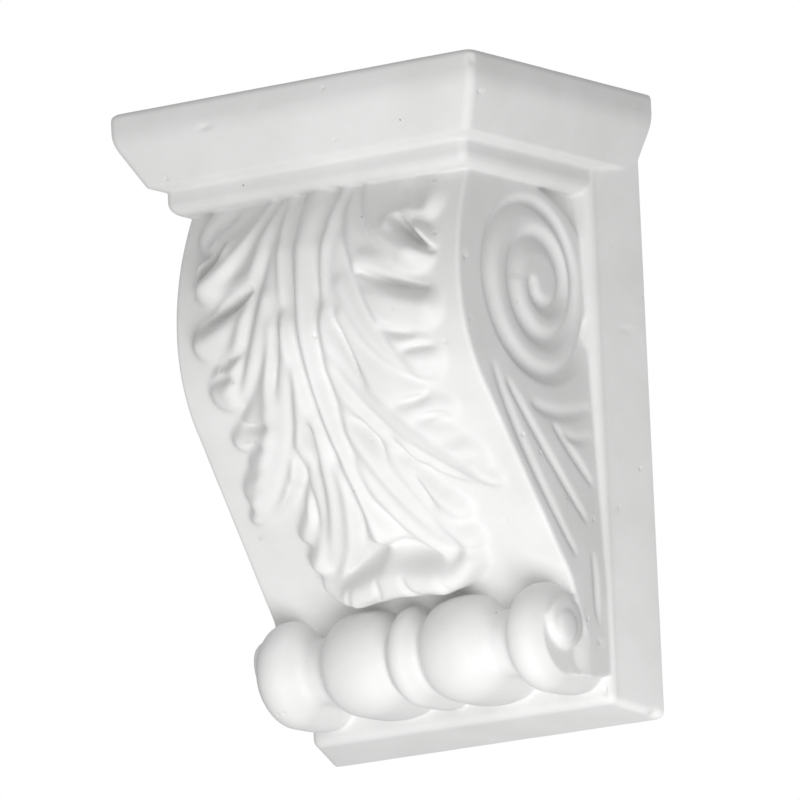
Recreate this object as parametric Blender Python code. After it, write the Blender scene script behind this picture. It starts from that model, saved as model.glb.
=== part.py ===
"""A cast plaster corbel, made to be fixed to a wall under a shelf or a beam.

It is one casting: a moulded cap, a back plate with drafted edges, and a console whose
front bulges and then falls back to a roll of bulbs. An acanthus leaf is carved down the
front, and a scroll with flutes below it on each side.

X runs across, the front faces -Y and Z is up. The origin is the middle of the flat back,
where the corbel meets the wall. Lengths are in metres. The carving is drawn in millimetres
on a face and a side of a stated size, and is stretched to the real ones.
"""

import math

import bmesh
import bpy
import numpy as np

NAME = "corbel"
MM = 0.001

# Overall height, and how deep one mass runs into the next before they are joined
HEIGHT = 0.250
SINK = 0.003

# Cap, with its moulding listed from the top edge down
CAP_WIDTH = 0.175
CAP_DEPTH = 0.126
CAP_EDGE_RADIUS = 0.0025
CAP_BAND_HEIGHT = 0.0115
CAP_SLOPE_IN = 0.0095
CAP_SLOPE_DROP = 0.0180
CAP_STEP_IN = 0.0058
CAP_STEP_DROP = 0.0020
CAP_FILLET_HEIGHT = 0.0045
CAP_OVOLO_RADIUS = 0.0052
CAP_ARC_STEPS = 3

# Back plate
PLATE_WIDTH = 0.160
PLATE_THICKNESS = 0.025
PLATE_SIDE_DRAFT = 0.0070
PLATE_BOTTOM_DRAFT = 0.0043
PLATE_CORNER_RADIUS = 0.003
PLATE_EDGE_RADIUS = 0.0040
CORNER_STEPS = 3

# Console: widths at its head and foot, and the curve of its front
CONSOLE_HEAD_WIDTH = 0.1336
CONSOLE_FOOT_WIDTH = 0.1434
BULGE_REACH = 0.1126
BULGE_BELOW_CAP = 0.0470
BULGE_UPPER_RADIUS = 0.100
BULGE_LOWER_RADIUS = 0.066
FALL_ANGLE = math.radians(35.8)
FALL_LENGTH = 0.0868
HEEL_REACH = 0.034
HEEL_HEIGHT = 0.016
CONSOLE_EDGE_RADIUS = 0.0014

# Roll of bulbs at the foot
ROLL_REACH = 0.050
ROLL_HEIGHT = 0.0295
ROLL_HALF_LENGTH = 0.0690
ROLL_NECK_RADIUS = 0.0132
RING_RADIUS = 0.0205
RING_HALF_WIDTH = 0.0066
BULB_PLACE = 0.0236
BULB_RADIUS = 0.0214
BULB_HALF_WIDTH = 0.0152
END_BULB_PLACE = 0.0600
END_BULB_RADIUS = 0.0218
END_BULB_HALF_WIDTH = 0.0094
ROLL_BLEND = 4
ROLL_SOFTNESS = 0.0016
ROLL_SOFTENING = (0.1, 0.2, 0.4, 0.2, 0.1)

# The heel lies past the end of the drawn face, so the leaf stops short of it
PAST_FACE = 2.0

# How finely the masses are carved, and how many triangles the console is thinned to
HALF_FACE_COLUMNS = 54
SIDE_COLUMNS = 52
CONSOLE_ROWS = 140
HEEL_ROWS = 8
LEAF_SOFTENING = 1
SLIT_SOFTENING = 1
SIDE_SOFTENING = 2
CONSOLE_TRIANGLES = 6000
ROLL_COLUMNS = 46
ROLL_SPOKES = 24
END_RINGS = 7
CURVE_STEPS = 30

# How flat a petal's top is, how closely forms meet, how sharp a rib is, and the height of
# sheet (mm) that bears a full rib
PETAL_FLATNESS = 1.5
TIP_FLATNESS = 1.8
BLEND = 8
RIB_SHARPNESS = 1.6
FULL_RIB_SHEET = 3.0

# The leaf lies lower under the cap, and reaches its full height this far down (mm)
TOP_SHARE = 0.5
TOP_FADE = 30.0

# How sharp a cut is, how far along its strength it starts, and its width where it ends
CUT_SHARPNESS = 2.2
CUT_START = 0.08
CUT_END_WIDTH = 0.4

# How far under the bare face a slit may go (mm)
SLIT_FLOOR = -3.0

# The leaf, drawn in millimetres on half a face: across from the middle, down from the cap.
DRAWN_HALF_FACE = 69.0
DRAWN_FACE_LENGTH = 177.0

# Petals make the leaf's sheet. Each has a curve of four points, its half width at the root,
# how far it swells between root and tip, its half width at the tip, and its height at both.
PETALS = {
    "stem": ((0, -6), (0, 50), (0, 104), (0, 158), 13.0, -1.0, 7.0, 10.0, 9.5),
    "crown back": ((14, -6), (30, -6), (44, 0), (50, 12), 11.0, 3.0, 10.0, 8.0, 7.0),
    "crown front": ((14, 0), (22, 14), (34, 26), (49, 33), 10.0, 1.0, 9.5, 9.0, 9.0),
    "upper lobe": ((8, 14), (18, 34), (34, 50), (51, 56), 10.0, 2.0, 8.5, 10.0, 5.0),
    "upper lobe front": ((8, 30), (18, 52), (34, 66), (47, 76), 9.0, 3.0, 8.5, 10.0, 4.6),
    "middle lobe back": ((8, 56), (20, 78), (36, 92), (48, 97), 8.0, 2.0, 4.8, 9.5, 4.2),
    "middle lobe": ((6, 60), (18, 92), (36, 110), (50, 120), 9.0, 4.5, 7.0, 10.0, 5.0),
    "middle lobe tip": ((12, 84), (26, 108), (42, 122), (56, 131), 7.0, 3.0, 3.0, 8.0, 4.2),
    "lower lobe back": ((4, 92), (12, 116), (22, 130), (35, 141), 7.0, 2.5, 5.0, 9.5, 5.0),
    "lower lobe": ((3, 100), (9, 126), (19, 143), (34, 153), 7.0, 3.5, 6.0, 9.5, 6.0),
    "lower lobe front": ((3, 112), (6, 136), (13, 150), (24, 159), 6.0, 2.0, 5.0, 9.0, 6.0),
}

# Ribs stand on the sheet: a curve of four points, half widths and rises at both ends
RIBS = {
    "stem": ((0, -6), (0, 45), (0, 90), (0, 160), 4.4, 2.6, 3.6, 2.8),
    "stem side": ((15, -6), (12, 22), (10, 50), (9, 92), 4.6, 2.8, 2.4, 2.4),
    "crown rib": ((22, -4), (24, 18), (32, 29), (50, 37), 2.6, 4.0, 2.4, 2.4),
    "crown curl": ((54, -4), (64, 4), (64, 22), (54, 25), 3.6, 4.2, 1.6, 3.4),
    "crown curl end": ((40, 24), (41, 17), (47, 16), (52, 23), 3.4, 3.6, 2.6, 2.6),
    "shoulder end": ((28, 35), (31, 36), (36, 37), (44, 39), 3.8, 4.6, 2.6, 1.6),
    "upper rib": ((16, 0), (23, 28), (27, 52), (45, 76), 4.6, 3.8, 3.0, 1.8),
    "upper rib back": ((20, 26), (28, 44), (40, 54), (56, 57), 4.6, 4.2, 1.8, 1.8),
    "upper rib front": ((18, 44), (24, 62), (33, 74), (48, 85), 3.4, 3.0, 2.2, 1.4),
    "middle rib": ((16, 56), (22, 80), (34, 98), (53, 125), 4.4, 3.6, 3.0, 2.0),
    "middle rib back": ((22, 76), (30, 92), (40, 97), (50, 100), 3.4, 2.8, 1.6, 1.2),
    "middle rib front": ((9, 72), (15, 98), (30, 120), (50, 134), 4.0, 2.6, 2.6, 1.4),
    "lower rib back": ((16, 96), (22, 116), (26, 128), (35, 141), 3.0, 2.4, 2.0, 1.2),
    "lower rib": ((8, 96), (13, 122), (19, 140), (37, 156), 3.8, 2.8, 2.6, 1.8),
    "lower rib front": ((4, 112), (8, 132), (13, 148), (25, 161), 3.0, 2.6, 2.2, 1.6),
}

# The turned tip stands clear of the sheet, as a curve of three points, half widths and heights
TURNED_TIP = {
    "lip": ((0, 163), (10, 165), (20, 167), 9.0, 7.2, 16.0, 15.0),
    "lip end": ((20, 167), (26, 168), (32, 162), 7.0, 5.0, 14.0, 9.0),
}

# Cuts between the lobes: a curve of three points, a half width and a depth
CUTS = {
    "beside the stem": ((9, -6), (4.5, 50), (3, 134), 2.6, 4.4),
    "outside the stem": ((18, -6), (14, 22), (11.5, 52), 2.2, 2.8),
    "crown pocket": ((42, 6), (49, 9), (52, 17), 4.4, 3.6),
    "crown groove": ((19, -4), (21, 24), (44, 38), 2.4, 3.6),
    "shoulder dip": ((24, 43), (38, 47), (54, 51), 4.6, 3.0),
    "upper groove": ((15, 14), (20, 42), (41, 80), 2.4, 3.4),
    "upper dip 1": ((30, 60), (40, 65), (48, 66), 3.4, 2.4),
    "upper dip 2": ((38, 71), (46, 70), (54, 73), 3.2, 2.0),
    "upper eye": ((13, 54), (17, 66), (22, 80), 2.8, 5.0),
    "middle dip 1": ((28, 90), (38, 92), (46, 90), 3.2, 2.4),
    "middle dip 2": ((36, 99), (44, 98), (51, 100), 3.0, 2.0),
    "middle dip 3": ((41, 109), (48, 110), (55, 111), 2.6, 1.8),
    "middle dip 4": ((46, 118), (50, 118), (56, 120), 2.6, 1.6),
    "long vein a": ((9, 68), (15, 88), (28, 108), 2.4, 3.8),
    "long vein b": ((24, 102), (36, 119), (51, 132), 2.2, 3.2),
    "middle eye": ((12, 94), (14, 104), (16, 114), 2.6, 4.6),
    "middle cut": ((21, 101), (24, 109), (26, 118), 2.0, 3.6),
    "lower vein": ((14, 112), (18, 130), (31, 154), 2.2, 3.6),
    "lower cut": ((23, 116), (25, 127), (28, 138), 1.8, 3.4),
    "lower edge": ((31, 116), (33, 124), (32, 133), 1.8, 3.0),
    "tip vein": ((3, 126), (6, 146), (24, 161), 2.6, 4.6),
    "tip hollow": ((-20, 159), (0, 143), (20, 159), 4.2, 10.0),
}

# Slits cut after the leaf is softened, drawn as the cuts are
SLITS = {
    "crown": ((42, 21), (48, 28), (57, 35), 2.5, 14.0),
    "shoulder": ((26, 40), (38, 46), (54, 50), 2.1, 9.0),
    "upper 1": ((33, 61), (39, 65), (46, 66), 1.5, 3.2),
    "upper 2": ((41, 71), (47, 70), (53, 72), 1.5, 3.2),
    "middle 1": ((31, 90), (37, 92), (44, 90), 1.6, 3.4),
    "middle 2": ((38, 99), (44, 98), (49, 99), 1.4, 2.6),
    "upper eye": ((14, 58), (17, 66), (20, 76), 1.6, 2.6),
    "middle eye": ((13, 97), (14, 104), (16, 111), 1.6, 2.6),
    "middle cut": ((22, 103), (24, 109), (25, 116), 1.3, 1.8),
    "lower cut": ((23, 120), (25, 128), (27, 136), 1.3, 1.8),
    "tip curl": ((6, 160), (5, 172), (18, 170), 1.5, 2.6),
    "tip scallop": ((20, 163), (23, 168), (23, 173), 1.4, 2.0),
}

# The side, drawn in millimetres: out from the wall and up from the foot
DRAWN_REACH = 112.6
DRAWN_SIDE_HEIGHT = 250.0
SCROLL_CENTRE = (55.0, 170.0)
SCROLL_START = math.pi
SCROLL_END = SCROLL_START + 9.6 * math.pi / 2
SCROLL_RADII = (5.3, 10.5, 18.0, 19.5, 19.5, 25.0, 23.8, 31.0, 38.0, 39.5, 33.0)
SCROLL_DEPTH = 4.6
SCROLL_CREST = 0.45
SCROLL_FALL = 4.5
SCROLL_TURNS = 3
RIBBON_EDGE = 3.0
RIBBON_RADIUS = 37.0
SCROLL_RECESS = 4.4
RECESS_EDGE = 10.0
SIDE_CUTS = {
    "ribbon edge": ((92, 131), (82, 107), (45, 63), 2.6, 2.0),
    "long flute": ((83, 126), (64, 105), (36, 77), 2.0, 2.8),
    "short flute": ((53, 112), (42, 103), (30, 92), 2.0, 2.8),
    "upper crescent": ((66, 119), (48, 114), (29, 122), 3.0, 2.4),
    "lower crescent": ((46, 110), (38, 106), (29, 111), 2.2, 1.8),
    "foot groove": ((32, 62), (31, 50), (31.5, 38), 2.4, 1.5),
}

# The small scroll on each end of the roll, in millimetres from the roll's axis: out from the
# wall and up. A boss with an eye in it leans up and back over a hollow inside the rim, and
# the end comes flush with the console behind.
EYE_PLACE = (4.5, 2.6)
EYE_RADIUS = 6.3
EYE_HEIGHT = 1.8
BOSS_RADIUS = 11.5
BOSS_LEAN = 4.0
BOSS_LEAN_ANGLE = math.radians(60)
BOSS_HEIGHT = 3.7
HOLLOW_DEPTH = 2.0
RIM_SHARE = 0.78
FLUSH_RISE = 2.6
BACK_GROOVE = -19.0
BACK_GROOVE_WIDTH = 2.2
BACK_GROOVE_DEPTH = 1.5
BACK_GROOVE_FADE = 12.0
FLUSH_FROM = 3.0
FLUSH_TO = -13.0

PLASTER_COLOUR = (0.86, 0.86, 0.85, 1.0)
PLASTER_ROUGHNESS = 0.6


def clear_scene():
    """Remove whatever objects the scene opens with."""
    for found in list(bpy.data.objects):
        bpy.data.objects.remove(found, do_unlink=True)


def new_collection(name):
    """Add a collection to the scene."""
    collection = bpy.data.collections.new(name)
    bpy.context.scene.collection.children.link(collection)
    return collection


def plaster():
    """The white of the casting."""
    material = bpy.data.materials.new("plaster")
    material.use_nodes = True
    shader = material.node_tree.nodes["Principled BSDF"]
    shader.inputs["Base Color"].default_value = PLASTER_COLOUR
    shader.inputs["Roughness"].default_value = PLASTER_ROUGHNESS
    shader.inputs["Metallic"].default_value = 0.0
    return material


def loft(name, rings, collection):
    """Join rings of points, all of one count, into a closed solid."""
    bm = bmesh.new()
    loops = [[bm.verts.new(point) for point in ring] for ring in rings]
    count = len(loops[0])
    for lower, upper in zip(loops, loops[1:]):
        for i in range(count):
            j = (i + 1) % count
            bm.faces.new((lower[i], lower[j], upper[j], upper[i]))
    bm.faces.new(loops[0])
    bm.faces.new(loops[-1])
    bmesh.ops.recalc_face_normals(bm, faces=bm.faces)
    mesh = bpy.data.meshes.new(name)
    bm.to_mesh(mesh)
    bm.free()
    mesh.shade_smooth()
    mass = bpy.data.objects.new(name, mesh)
    collection.objects.link(mass)
    return mass


def smooth_step(value):
    """Rise from 0 to 1 as value does, level at both ends."""
    share = np.clip(value, 0.0, 1.0)
    return share * share * (3.0 - 2.0 * share)


def curve_points(points):
    """Points along the curve that three or four drawn points pull."""
    share = np.linspace(0.0, 1.0, CURVE_STEPS)[:, None]
    layer = [np.asarray(point, float)[None, :] for point in points]
    while len(layer) > 1:
        layer = [a * (1.0 - share) + b * share for a, b in zip(layer, layer[1:])]
    return layer[0]


def along(points):
    """Shares and places along the curve of some drawn points."""
    return zip(np.linspace(0.0, 1.0, CURVE_STEPS), curve_points(points))


def petal_height(across, down, petal):
    """Height of a flat-topped petal with a rounded edge."""
    *points, root_width, swell, tip_width, root_height, tip_height = petal
    height = np.zeros_like(across)
    for share, (x, y) in along(points):
        width = root_width + (tip_width - root_width) * share
        width += swell * math.sin(math.pi * share)
        rise = root_height + (tip_height - root_height) * share
        off = ((across - x) ** 2 + (down - y) ** 2) / width ** 2
        top = np.sqrt(np.clip(1.0 - off ** PETAL_FLATNESS, 0.0, 1.0))
        height = np.maximum(height, rise * top)
    return height


def dome_height(across, down, boss):
    """Height of a round-topped boss."""
    *points, root_width, tip_width, root_height, tip_height = boss
    height = np.zeros_like(across)
    for share, (x, y) in along(points):
        width = root_width + (tip_width - root_width) * share
        rise = root_height + (tip_height - root_height) * share
        off = ((across - x) ** 2 + (down - y) ** 2) / width ** 2
        top = np.sqrt(np.clip(1.0 - off ** TIP_FLATNESS, 0.0, 1.0))
        height = np.maximum(height, rise * top)
    return height


def rib_rise(across, down, rib):
    """Rise of a soft rib over the sheet, strongest in its middle."""
    *points, root_width, tip_width, root_rise, tip_rise = rib
    rise = np.zeros_like(across)
    for share, (x, y) in along(points):
        width = root_width + (tip_width - root_width) * share
        full = root_rise + (tip_rise - root_rise) * share
        off = ((across - x) ** 2 + (down - y) ** 2) / width ** 2
        rise = np.maximum(rise, full * np.exp(-RIB_SHARPNESS * off))
    return rise


def cut_depth(across, down, cut):
    """Depth of a rounded cut that follows a curve and dies out at both ends."""
    *points, width, depth = cut
    deepest = np.zeros_like(across)
    for share, (x, y) in along(points):
        strength = math.sin(math.pi * (CUT_START + (1.0 - 2.0 * CUT_START) * share)) ** 0.5
        reach = width * (CUT_END_WIDTH + (1.0 - CUT_END_WIDTH) * strength)
        off = ((across - x) ** 2 + (down - y) ** 2) / reach ** 2
        deepest = np.maximum(deepest, depth * strength * np.exp(-CUT_SHARPNESS * off))
    return deepest


def soften(relief, times):
    """Round a carved surface, as paint and casting do."""
    for _ in range(times):
        wide = np.pad(relief, 1, mode="edge")
        rows = (wide[:-2] + 2 * wide[1:-1] + wide[2:]) / 4
        relief = (rows[:, :-2] + 2 * rows[:, 1:-1] + rows[:, 2:]) / 4
    return relief


def blend(forms):
    """The highest of several forms at each place, with soft joins."""
    return sum(form ** BLEND for form in forms) ** (1.0 / BLEND)


def leaf_height(across, down):
    """Height of the leaf, for places as shares of half the face's width and of its length."""
    u = np.abs(across) * DRAWN_HALF_FACE
    v = down * DRAWN_FACE_LENGTH
    sheet = blend(petal_height(u, v, petal) for petal in PETALS.values())
    rise = blend(rib_rise(u, v, rib) for rib in RIBS.values())
    height = sheet + rise * smooth_step(sheet / FULL_RIB_SHEET)
    height = height * (TOP_SHARE + (1.0 - TOP_SHARE) * smooth_step(v / TOP_FADE))
    depth = np.zeros_like(u)
    for cut in CUTS.values():
        depth = np.maximum(depth, cut_depth(u, v, cut))
    height = height - np.minimum(depth, height)
    for tip in TURNED_TIP.values():
        height = np.maximum(height, dome_height(u, v, tip))
    height = soften(height, LEAF_SOFTENING)
    slit = np.zeros_like(u)
    for cut in SLITS.values():
        slit = np.maximum(slit, cut_depth(u, v, cut))
    height = height - np.minimum(slit, np.maximum(height - SLIT_FLOOR, 0.0))
    return soften(height, SLIT_SOFTENING) * MM


def scroll_radius(turn):
    """Radius of the scroll's groove after an angle, smoothed between its quarter turns."""
    place = np.clip((turn - SCROLL_START) / (math.pi / 2), 0.0, len(SCROLL_RADII) - 1.001)
    before = place.astype(int)
    share = place - before
    radii = np.array((SCROLL_RADII[0],) + SCROLL_RADII + (SCROLL_RADII[-1],) * 2)
    a, b, c, d = (radii[before + k] for k in range(4))
    return b + 0.5 * share * (
        c - a + share * (2 * a - 5 * b + 4 * c - d + share * (3 * (b - c) + d - a))
    )


def scroll_depth(out, up):
    """How deep the scroll is cut at a place on the drawn side."""
    dy = SCROLL_CENTRE[0] - out
    dz = up - SCROLL_CENTRE[1]
    radius = np.hypot(dy, dz)
    angle = np.arctan2(dz, dy) % (2 * math.pi)
    inner = np.zeros_like(radius)
    outer = np.full_like(radius, np.nan)
    for turn in range(SCROLL_TURNS):
        whole = angle + 2 * math.pi * turn
        groove = scroll_radius(whole)
        reached = (whole >= SCROLL_START) & (whole <= SCROLL_END)
        passed = reached & (radius >= groove) & (turn < SCROLL_TURNS - 1)
        inner = np.where(passed, groove, inner)
        fresh = reached & (radius < groove) & np.isnan(outer)
        outer = np.where(fresh, groove, outer)
    inside = ~np.isnan(outer)
    share = np.where(inside, (outer - radius) / np.maximum(outer - inner, 1e-6), 0.0)
    rise = smooth_step(share / SCROLL_CREST)
    fall = np.clip((share - SCROLL_CREST) / (1.0 - SCROLL_CREST), 0.0, 1.0) ** SCROLL_FALL
    fall = np.where(inner > 0, fall, 0.0)
    ring = SCROLL_DEPTH * (1.0 - rise * (1.0 - fall))
    ribbon = SCROLL_DEPTH * (1.0 - smooth_step((radius - inner) / RIBBON_EDGE))
    recess = SCROLL_RECESS * smooth_step((radius - RIBBON_RADIUS) / RIBBON_EDGE)
    behind = smooth_step(dy / RECESS_EDGE) * smooth_step(dz / RECESS_EDGE - 1.0)
    return np.where(inside, ring, np.maximum(ribbon, recess * behind))


def side_depth(out, up):
    """How deep the side is carved, for places as shares of the reach and of the height."""
    y = out * DRAWN_REACH
    z = up * DRAWN_SIDE_HEIGHT
    depth = scroll_depth(y, z)
    for cut in SIDE_CUTS.values():
        depth = np.maximum(depth, cut_depth(y, z, cut))
    return soften(depth, SIDE_SOFTENING) * MM


def cap_profile():
    """The cap's moulding as (inset, drop) from its top edge to its underside."""
    profile = []
    for step in range(CAP_ARC_STEPS + 1):
        angle = math.pi / 2 * step / CAP_ARC_STEPS
        profile.append((
            CAP_EDGE_RADIUS * (1.0 - math.sin(angle)),
            CAP_EDGE_RADIUS * (1.0 - math.cos(angle)),
        ))
    inset, drop = 0.0, CAP_BAND_HEIGHT
    profile.append((inset, drop))
    inset, drop = inset + CAP_SLOPE_IN, drop + CAP_SLOPE_DROP
    profile.append((inset, drop))
    inset, drop = inset + CAP_STEP_IN, drop + CAP_STEP_DROP
    profile.append((inset, drop))
    drop += CAP_FILLET_HEIGHT
    for step in range(CAP_ARC_STEPS + 1):
        angle = math.pi / 2 * step / CAP_ARC_STEPS
        profile.append((
            inset + CAP_OVOLO_RADIUS * (1.0 - math.cos(angle)),
            drop + CAP_OVOLO_RADIUS * math.sin(angle),
        ))
    return profile


def cap_underside():
    """Height of the cap's underside, where the console starts."""
    return HEIGHT / 2 - cap_profile()[-1][1]


def make_cap(collection):
    """The moulded cap, mitred at its front corners and running on into the wall."""
    rings = []
    for inset, drop in cap_profile():
        x = CAP_WIDTH / 2 - inset
        y = CAP_DEPTH - inset
        z = HEIGHT / 2 - drop
        rings.append(((x, SINK, z), (-x, SINK, z), (-x, -y, z), (x, -y, z)))
    return loft("cap", rings, collection)


def plate_outline(half_width, bottom, y, shrink):
    """A rounded outline of the back plate, taken in all round by shrink."""
    x = half_width - shrink
    low = bottom + shrink
    high = HEIGHT / 2 - SINK - shrink
    radius = PLATE_CORNER_RADIUS
    outline = []
    corners = ((x, high, 0.0), (-x, high, 1.0), (-x, low, 2.0), (x, low, 3.0))
    for corner_x, corner_z, quarter in corners:
        centre_x = corner_x - math.copysign(radius, corner_x)
        centre_z = corner_z - (radius if quarter < 2 else -radius)
        for step in range(CORNER_STEPS + 1):
            angle = math.pi / 2 * (quarter + step / CORNER_STEPS)
            outline.append((
                centre_x + radius * math.cos(angle), y, centre_z + radius * math.sin(angle)
            ))
    return outline


def make_plate(collection):
    """The back plate, whose edges draw in towards its front."""
    rings = [
        plate_outline(PLATE_WIDTH / 2, -HEIGHT / 2, 2 * SINK, 0.0),
        plate_outline(PLATE_WIDTH / 2, -HEIGHT / 2, 0.0, 0.0),
    ]
    for step in range(CORNER_STEPS + 1):
        angle = math.pi / 2 * step / CORNER_STEPS
        rings.append(plate_outline(
            PLATE_WIDTH / 2 - PLATE_SIDE_DRAFT,
            -HEIGHT / 2 + PLATE_BOTTOM_DRAFT,
            -PLATE_THICKNESS + PLATE_EDGE_RADIUS * (1.0 - math.sin(angle)),
            PLATE_EDGE_RADIUS * (1.0 - math.cos(angle)),
        ))
    return loft("plate", rings, collection)


def face_length():
    """Length of the console's front, measured down its curve to the roll."""
    rise = math.asin(BULGE_BELOW_CAP / BULGE_UPPER_RADIUS)
    return BULGE_UPPER_RADIUS * rise + BULGE_LOWER_RADIUS * FALL_ANGLE + FALL_LENGTH


def face_place(down):
    """Place (y, z) and normal (y, z) of the console's front, a length down its curve."""
    rise = math.asin(BULGE_BELOW_CAP / BULGE_UPPER_RADIUS)
    bulge = cap_underside() - BULGE_BELOW_CAP
    past = down - BULGE_UPPER_RADIUS * rise
    upper = np.maximum(-past, 0.0) / BULGE_UPPER_RADIUS
    lower = np.clip(past / BULGE_LOWER_RADIUS, 0.0, FALL_ANGLE)
    fall = np.maximum(past - BULGE_LOWER_RADIUS * FALL_ANGLE, 0.0)
    y = -BULGE_REACH + BULGE_UPPER_RADIUS * (1 - np.cos(upper))
    y = y + BULGE_LOWER_RADIUS * (1 - np.cos(lower)) + fall * math.sin(FALL_ANGLE)
    z = bulge + BULGE_UPPER_RADIUS * np.sin(upper)
    z = z - BULGE_LOWER_RADIUS * np.sin(lower) - fall * math.cos(FALL_ANGLE)
    tilt = upper - lower
    return y, z, -np.cos(tilt), np.sin(tilt)


def console_half_width(z):
    """Half the console's width at a height: it widens evenly from head to foot."""
    foot = face_place(np.array(face_length()))[1]
    share = np.clip((cap_underside() - z) / (cap_underside() - foot), None, 1.0)
    return (CONSOLE_HEAD_WIDTH + (CONSOLE_FOOT_WIDTH - CONSOLE_HEAD_WIDTH) * share) / 2


def console_side(y, z, side):
    """Points of one side of the console, pushed in by its carving."""
    depth = side_depth(-y / BULGE_REACH, (z + HEIGHT / 2) / HEIGHT)
    return np.stack([side * (console_half_width(z) - depth), y, z], axis=-1)


def edge_drop(inset):
    """How far the front falls away at a distance in from its side, as a quarter round."""
    reach = np.clip(1.0 - inset / CONSOLE_EDGE_RADIUS, 0.0, 1.0)
    return CONSOLE_EDGE_RADIUS * (1.0 - np.sqrt(1.0 - reach ** 2))


def make_console(collection):
    """The console, row by row down its front: back edge, side, face, side, back edge."""
    down = np.linspace(-SINK, face_length(), CONSOLE_ROWS)
    y, z, normal_y, normal_z = face_place(down)
    heel_share = np.linspace(0.0, 1.0, HEEL_ROWS + 1)[1:]
    heel_z = HEEL_HEIGHT - HEIGHT / 2
    y = np.append(y, y[-1] + (-HEEL_REACH - y[-1]) * heel_share)
    z = np.append(z, z[-1] + (heel_z - z[-1]) * heel_share)
    normal_y = np.append(normal_y, np.full(HEEL_ROWS, -1.0))
    normal_z = np.append(normal_z, np.zeros(HEEL_ROWS))
    share_down = np.append(down / face_length(), np.full(HEEL_ROWS, PAST_FACE))

    across = np.linspace(-1.0, 1.0, 2 * HALF_FACE_COLUMNS)[None, :]
    right_half = across[:, HALF_FACE_COLUMNS:]
    height = leaf_height(right_half + 0 * y[:, None], share_down[:, None] + 0 * right_half)
    height[0] = 0.0
    height = np.concatenate([height[:, ::-1], height], axis=1)
    height = height - edge_drop((1.0 - np.abs(across)) * console_half_width(z)[:, None])
    face = np.stack([
        across * console_half_width(z)[:, None],
        y[:, None] + normal_y[:, None] * height,
        z[:, None] + normal_z[:, None] * height,
    ], axis=-1)

    back = -PLATE_THICKNESS + 2 * SINK
    edge_y = (y - normal_y * CONSOLE_EDGE_RADIUS)[:, None]
    edge_z = (z - normal_z * CONSOLE_EDGE_RADIUS)[:, None]
    back_z = np.linspace(z[0], z[-1], len(z))[:, None]
    share = np.linspace(0.0, 1.0, SIDE_COLUMNS + 1)[None, 1:]
    side_y = edge_y + (back - edge_y) * share
    side_z = edge_z + (back_z - edge_z) * share
    right = console_side(side_y, side_z, 1.0)
    left = console_side(side_y, side_z, -1.0)[:, ::-1]
    console = loft("console", np.concatenate([left, face, right], axis=1), collection)
    thin = console.modifiers.new("thin", "DECIMATE")
    thin.ratio = CONSOLE_TRIANGLES / (2 * len(console.data.polygons))
    return console


def turned_radius(x):
    """Radius of the roll as turned: a ring, two bulbs and two end bulbs."""
    total = 0.0
    for place, full, half_width in (
        (0.0, RING_RADIUS, RING_HALF_WIDTH),
        (BULB_PLACE, BULB_RADIUS, BULB_HALF_WIDTH),
        (END_BULB_PLACE, END_BULB_RADIUS, END_BULB_HALF_WIDTH),
    ):
        off = (abs(x) - place) / half_width
        bulb = (full - ROLL_NECK_RADIUS) * math.sqrt(max(1.0 - off * off, 0.0))
        total += bulb ** ROLL_BLEND
    return ROLL_NECK_RADIUS + total ** (1.0 / ROLL_BLEND)


def roll_radius(x):
    """Radius of the roll at a place along it, with its valleys softened."""
    middle = len(ROLL_SOFTENING) // 2
    return sum(
        share * turned_radius(x + (step - middle) * ROLL_SOFTNESS)
        for step, share in enumerate(ROLL_SOFTENING)
    )


def roll_ring(x, radius, back_reach, shrink=1.0, at_end=False):
    """A ring of the roll: round in front, and run back into the plate behind."""
    ring = []
    for spoke in range(ROLL_SPOKES):
        angle = 2 * math.pi * spoke / ROLL_SPOKES
        out, up = -math.cos(angle), math.sin(angle)
        if out < 0:
            out_by = -back_reach * math.sqrt(-out)
            up_by = radius * math.copysign(math.sqrt(abs(up)), up)
        else:
            out_by = radius * out
            up_by = radius * up
        out_by, up_by = out_by * shrink, up_by * shrink
        relief = end_relief(out_by / MM, up_by / MM, shrink) * MM if at_end else 0.0
        ring.append((
            x + math.copysign(relief, x),
            -ROLL_REACH - out_by,
            ROLL_HEIGHT - HEIGHT / 2 + up_by,
        ))
    return ring


def end_relief(out, up, shrink):
    """Height of the scroll on the roll's end, at a place from its axis and a share of its rim."""
    radius = math.hypot(out - EYE_PLACE[0], up - EYE_PLACE[1])
    angle = math.atan2(up - EYE_PLACE[1], EYE_PLACE[0] - out)
    edge = BOSS_RADIUS + BOSS_LEAN * math.cos(angle - BOSS_LEAN_ANGLE)
    share = min(max((radius - EYE_RADIUS) / (edge - EYE_RADIUS), 0.0), 1.0)
    boss = BOSS_HEIGHT * math.sqrt(1.0 - share * share)
    eye = EYE_HEIGHT * math.sqrt(max(1.0 - (radius / EYE_RADIUS) ** 2, 0.0))
    rim = float(smooth_step((shrink - RIM_SHARE) / (1.0 - RIM_SHARE)))
    behind = float(smooth_step((FLUSH_FROM - out) / (FLUSH_FROM - FLUSH_TO)))
    floor = FLUSH_RISE * behind - HOLLOW_DEPTH * (1.0 - rim) * (1.0 - behind)
    groove = BACK_GROOVE_DEPTH * math.exp(-((out - BACK_GROOVE) / BACK_GROOVE_WIDTH) ** 2)
    floor -= groove * float(smooth_step(up / BACK_GROOVE_FADE))
    return max(floor, boss + eye)


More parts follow.
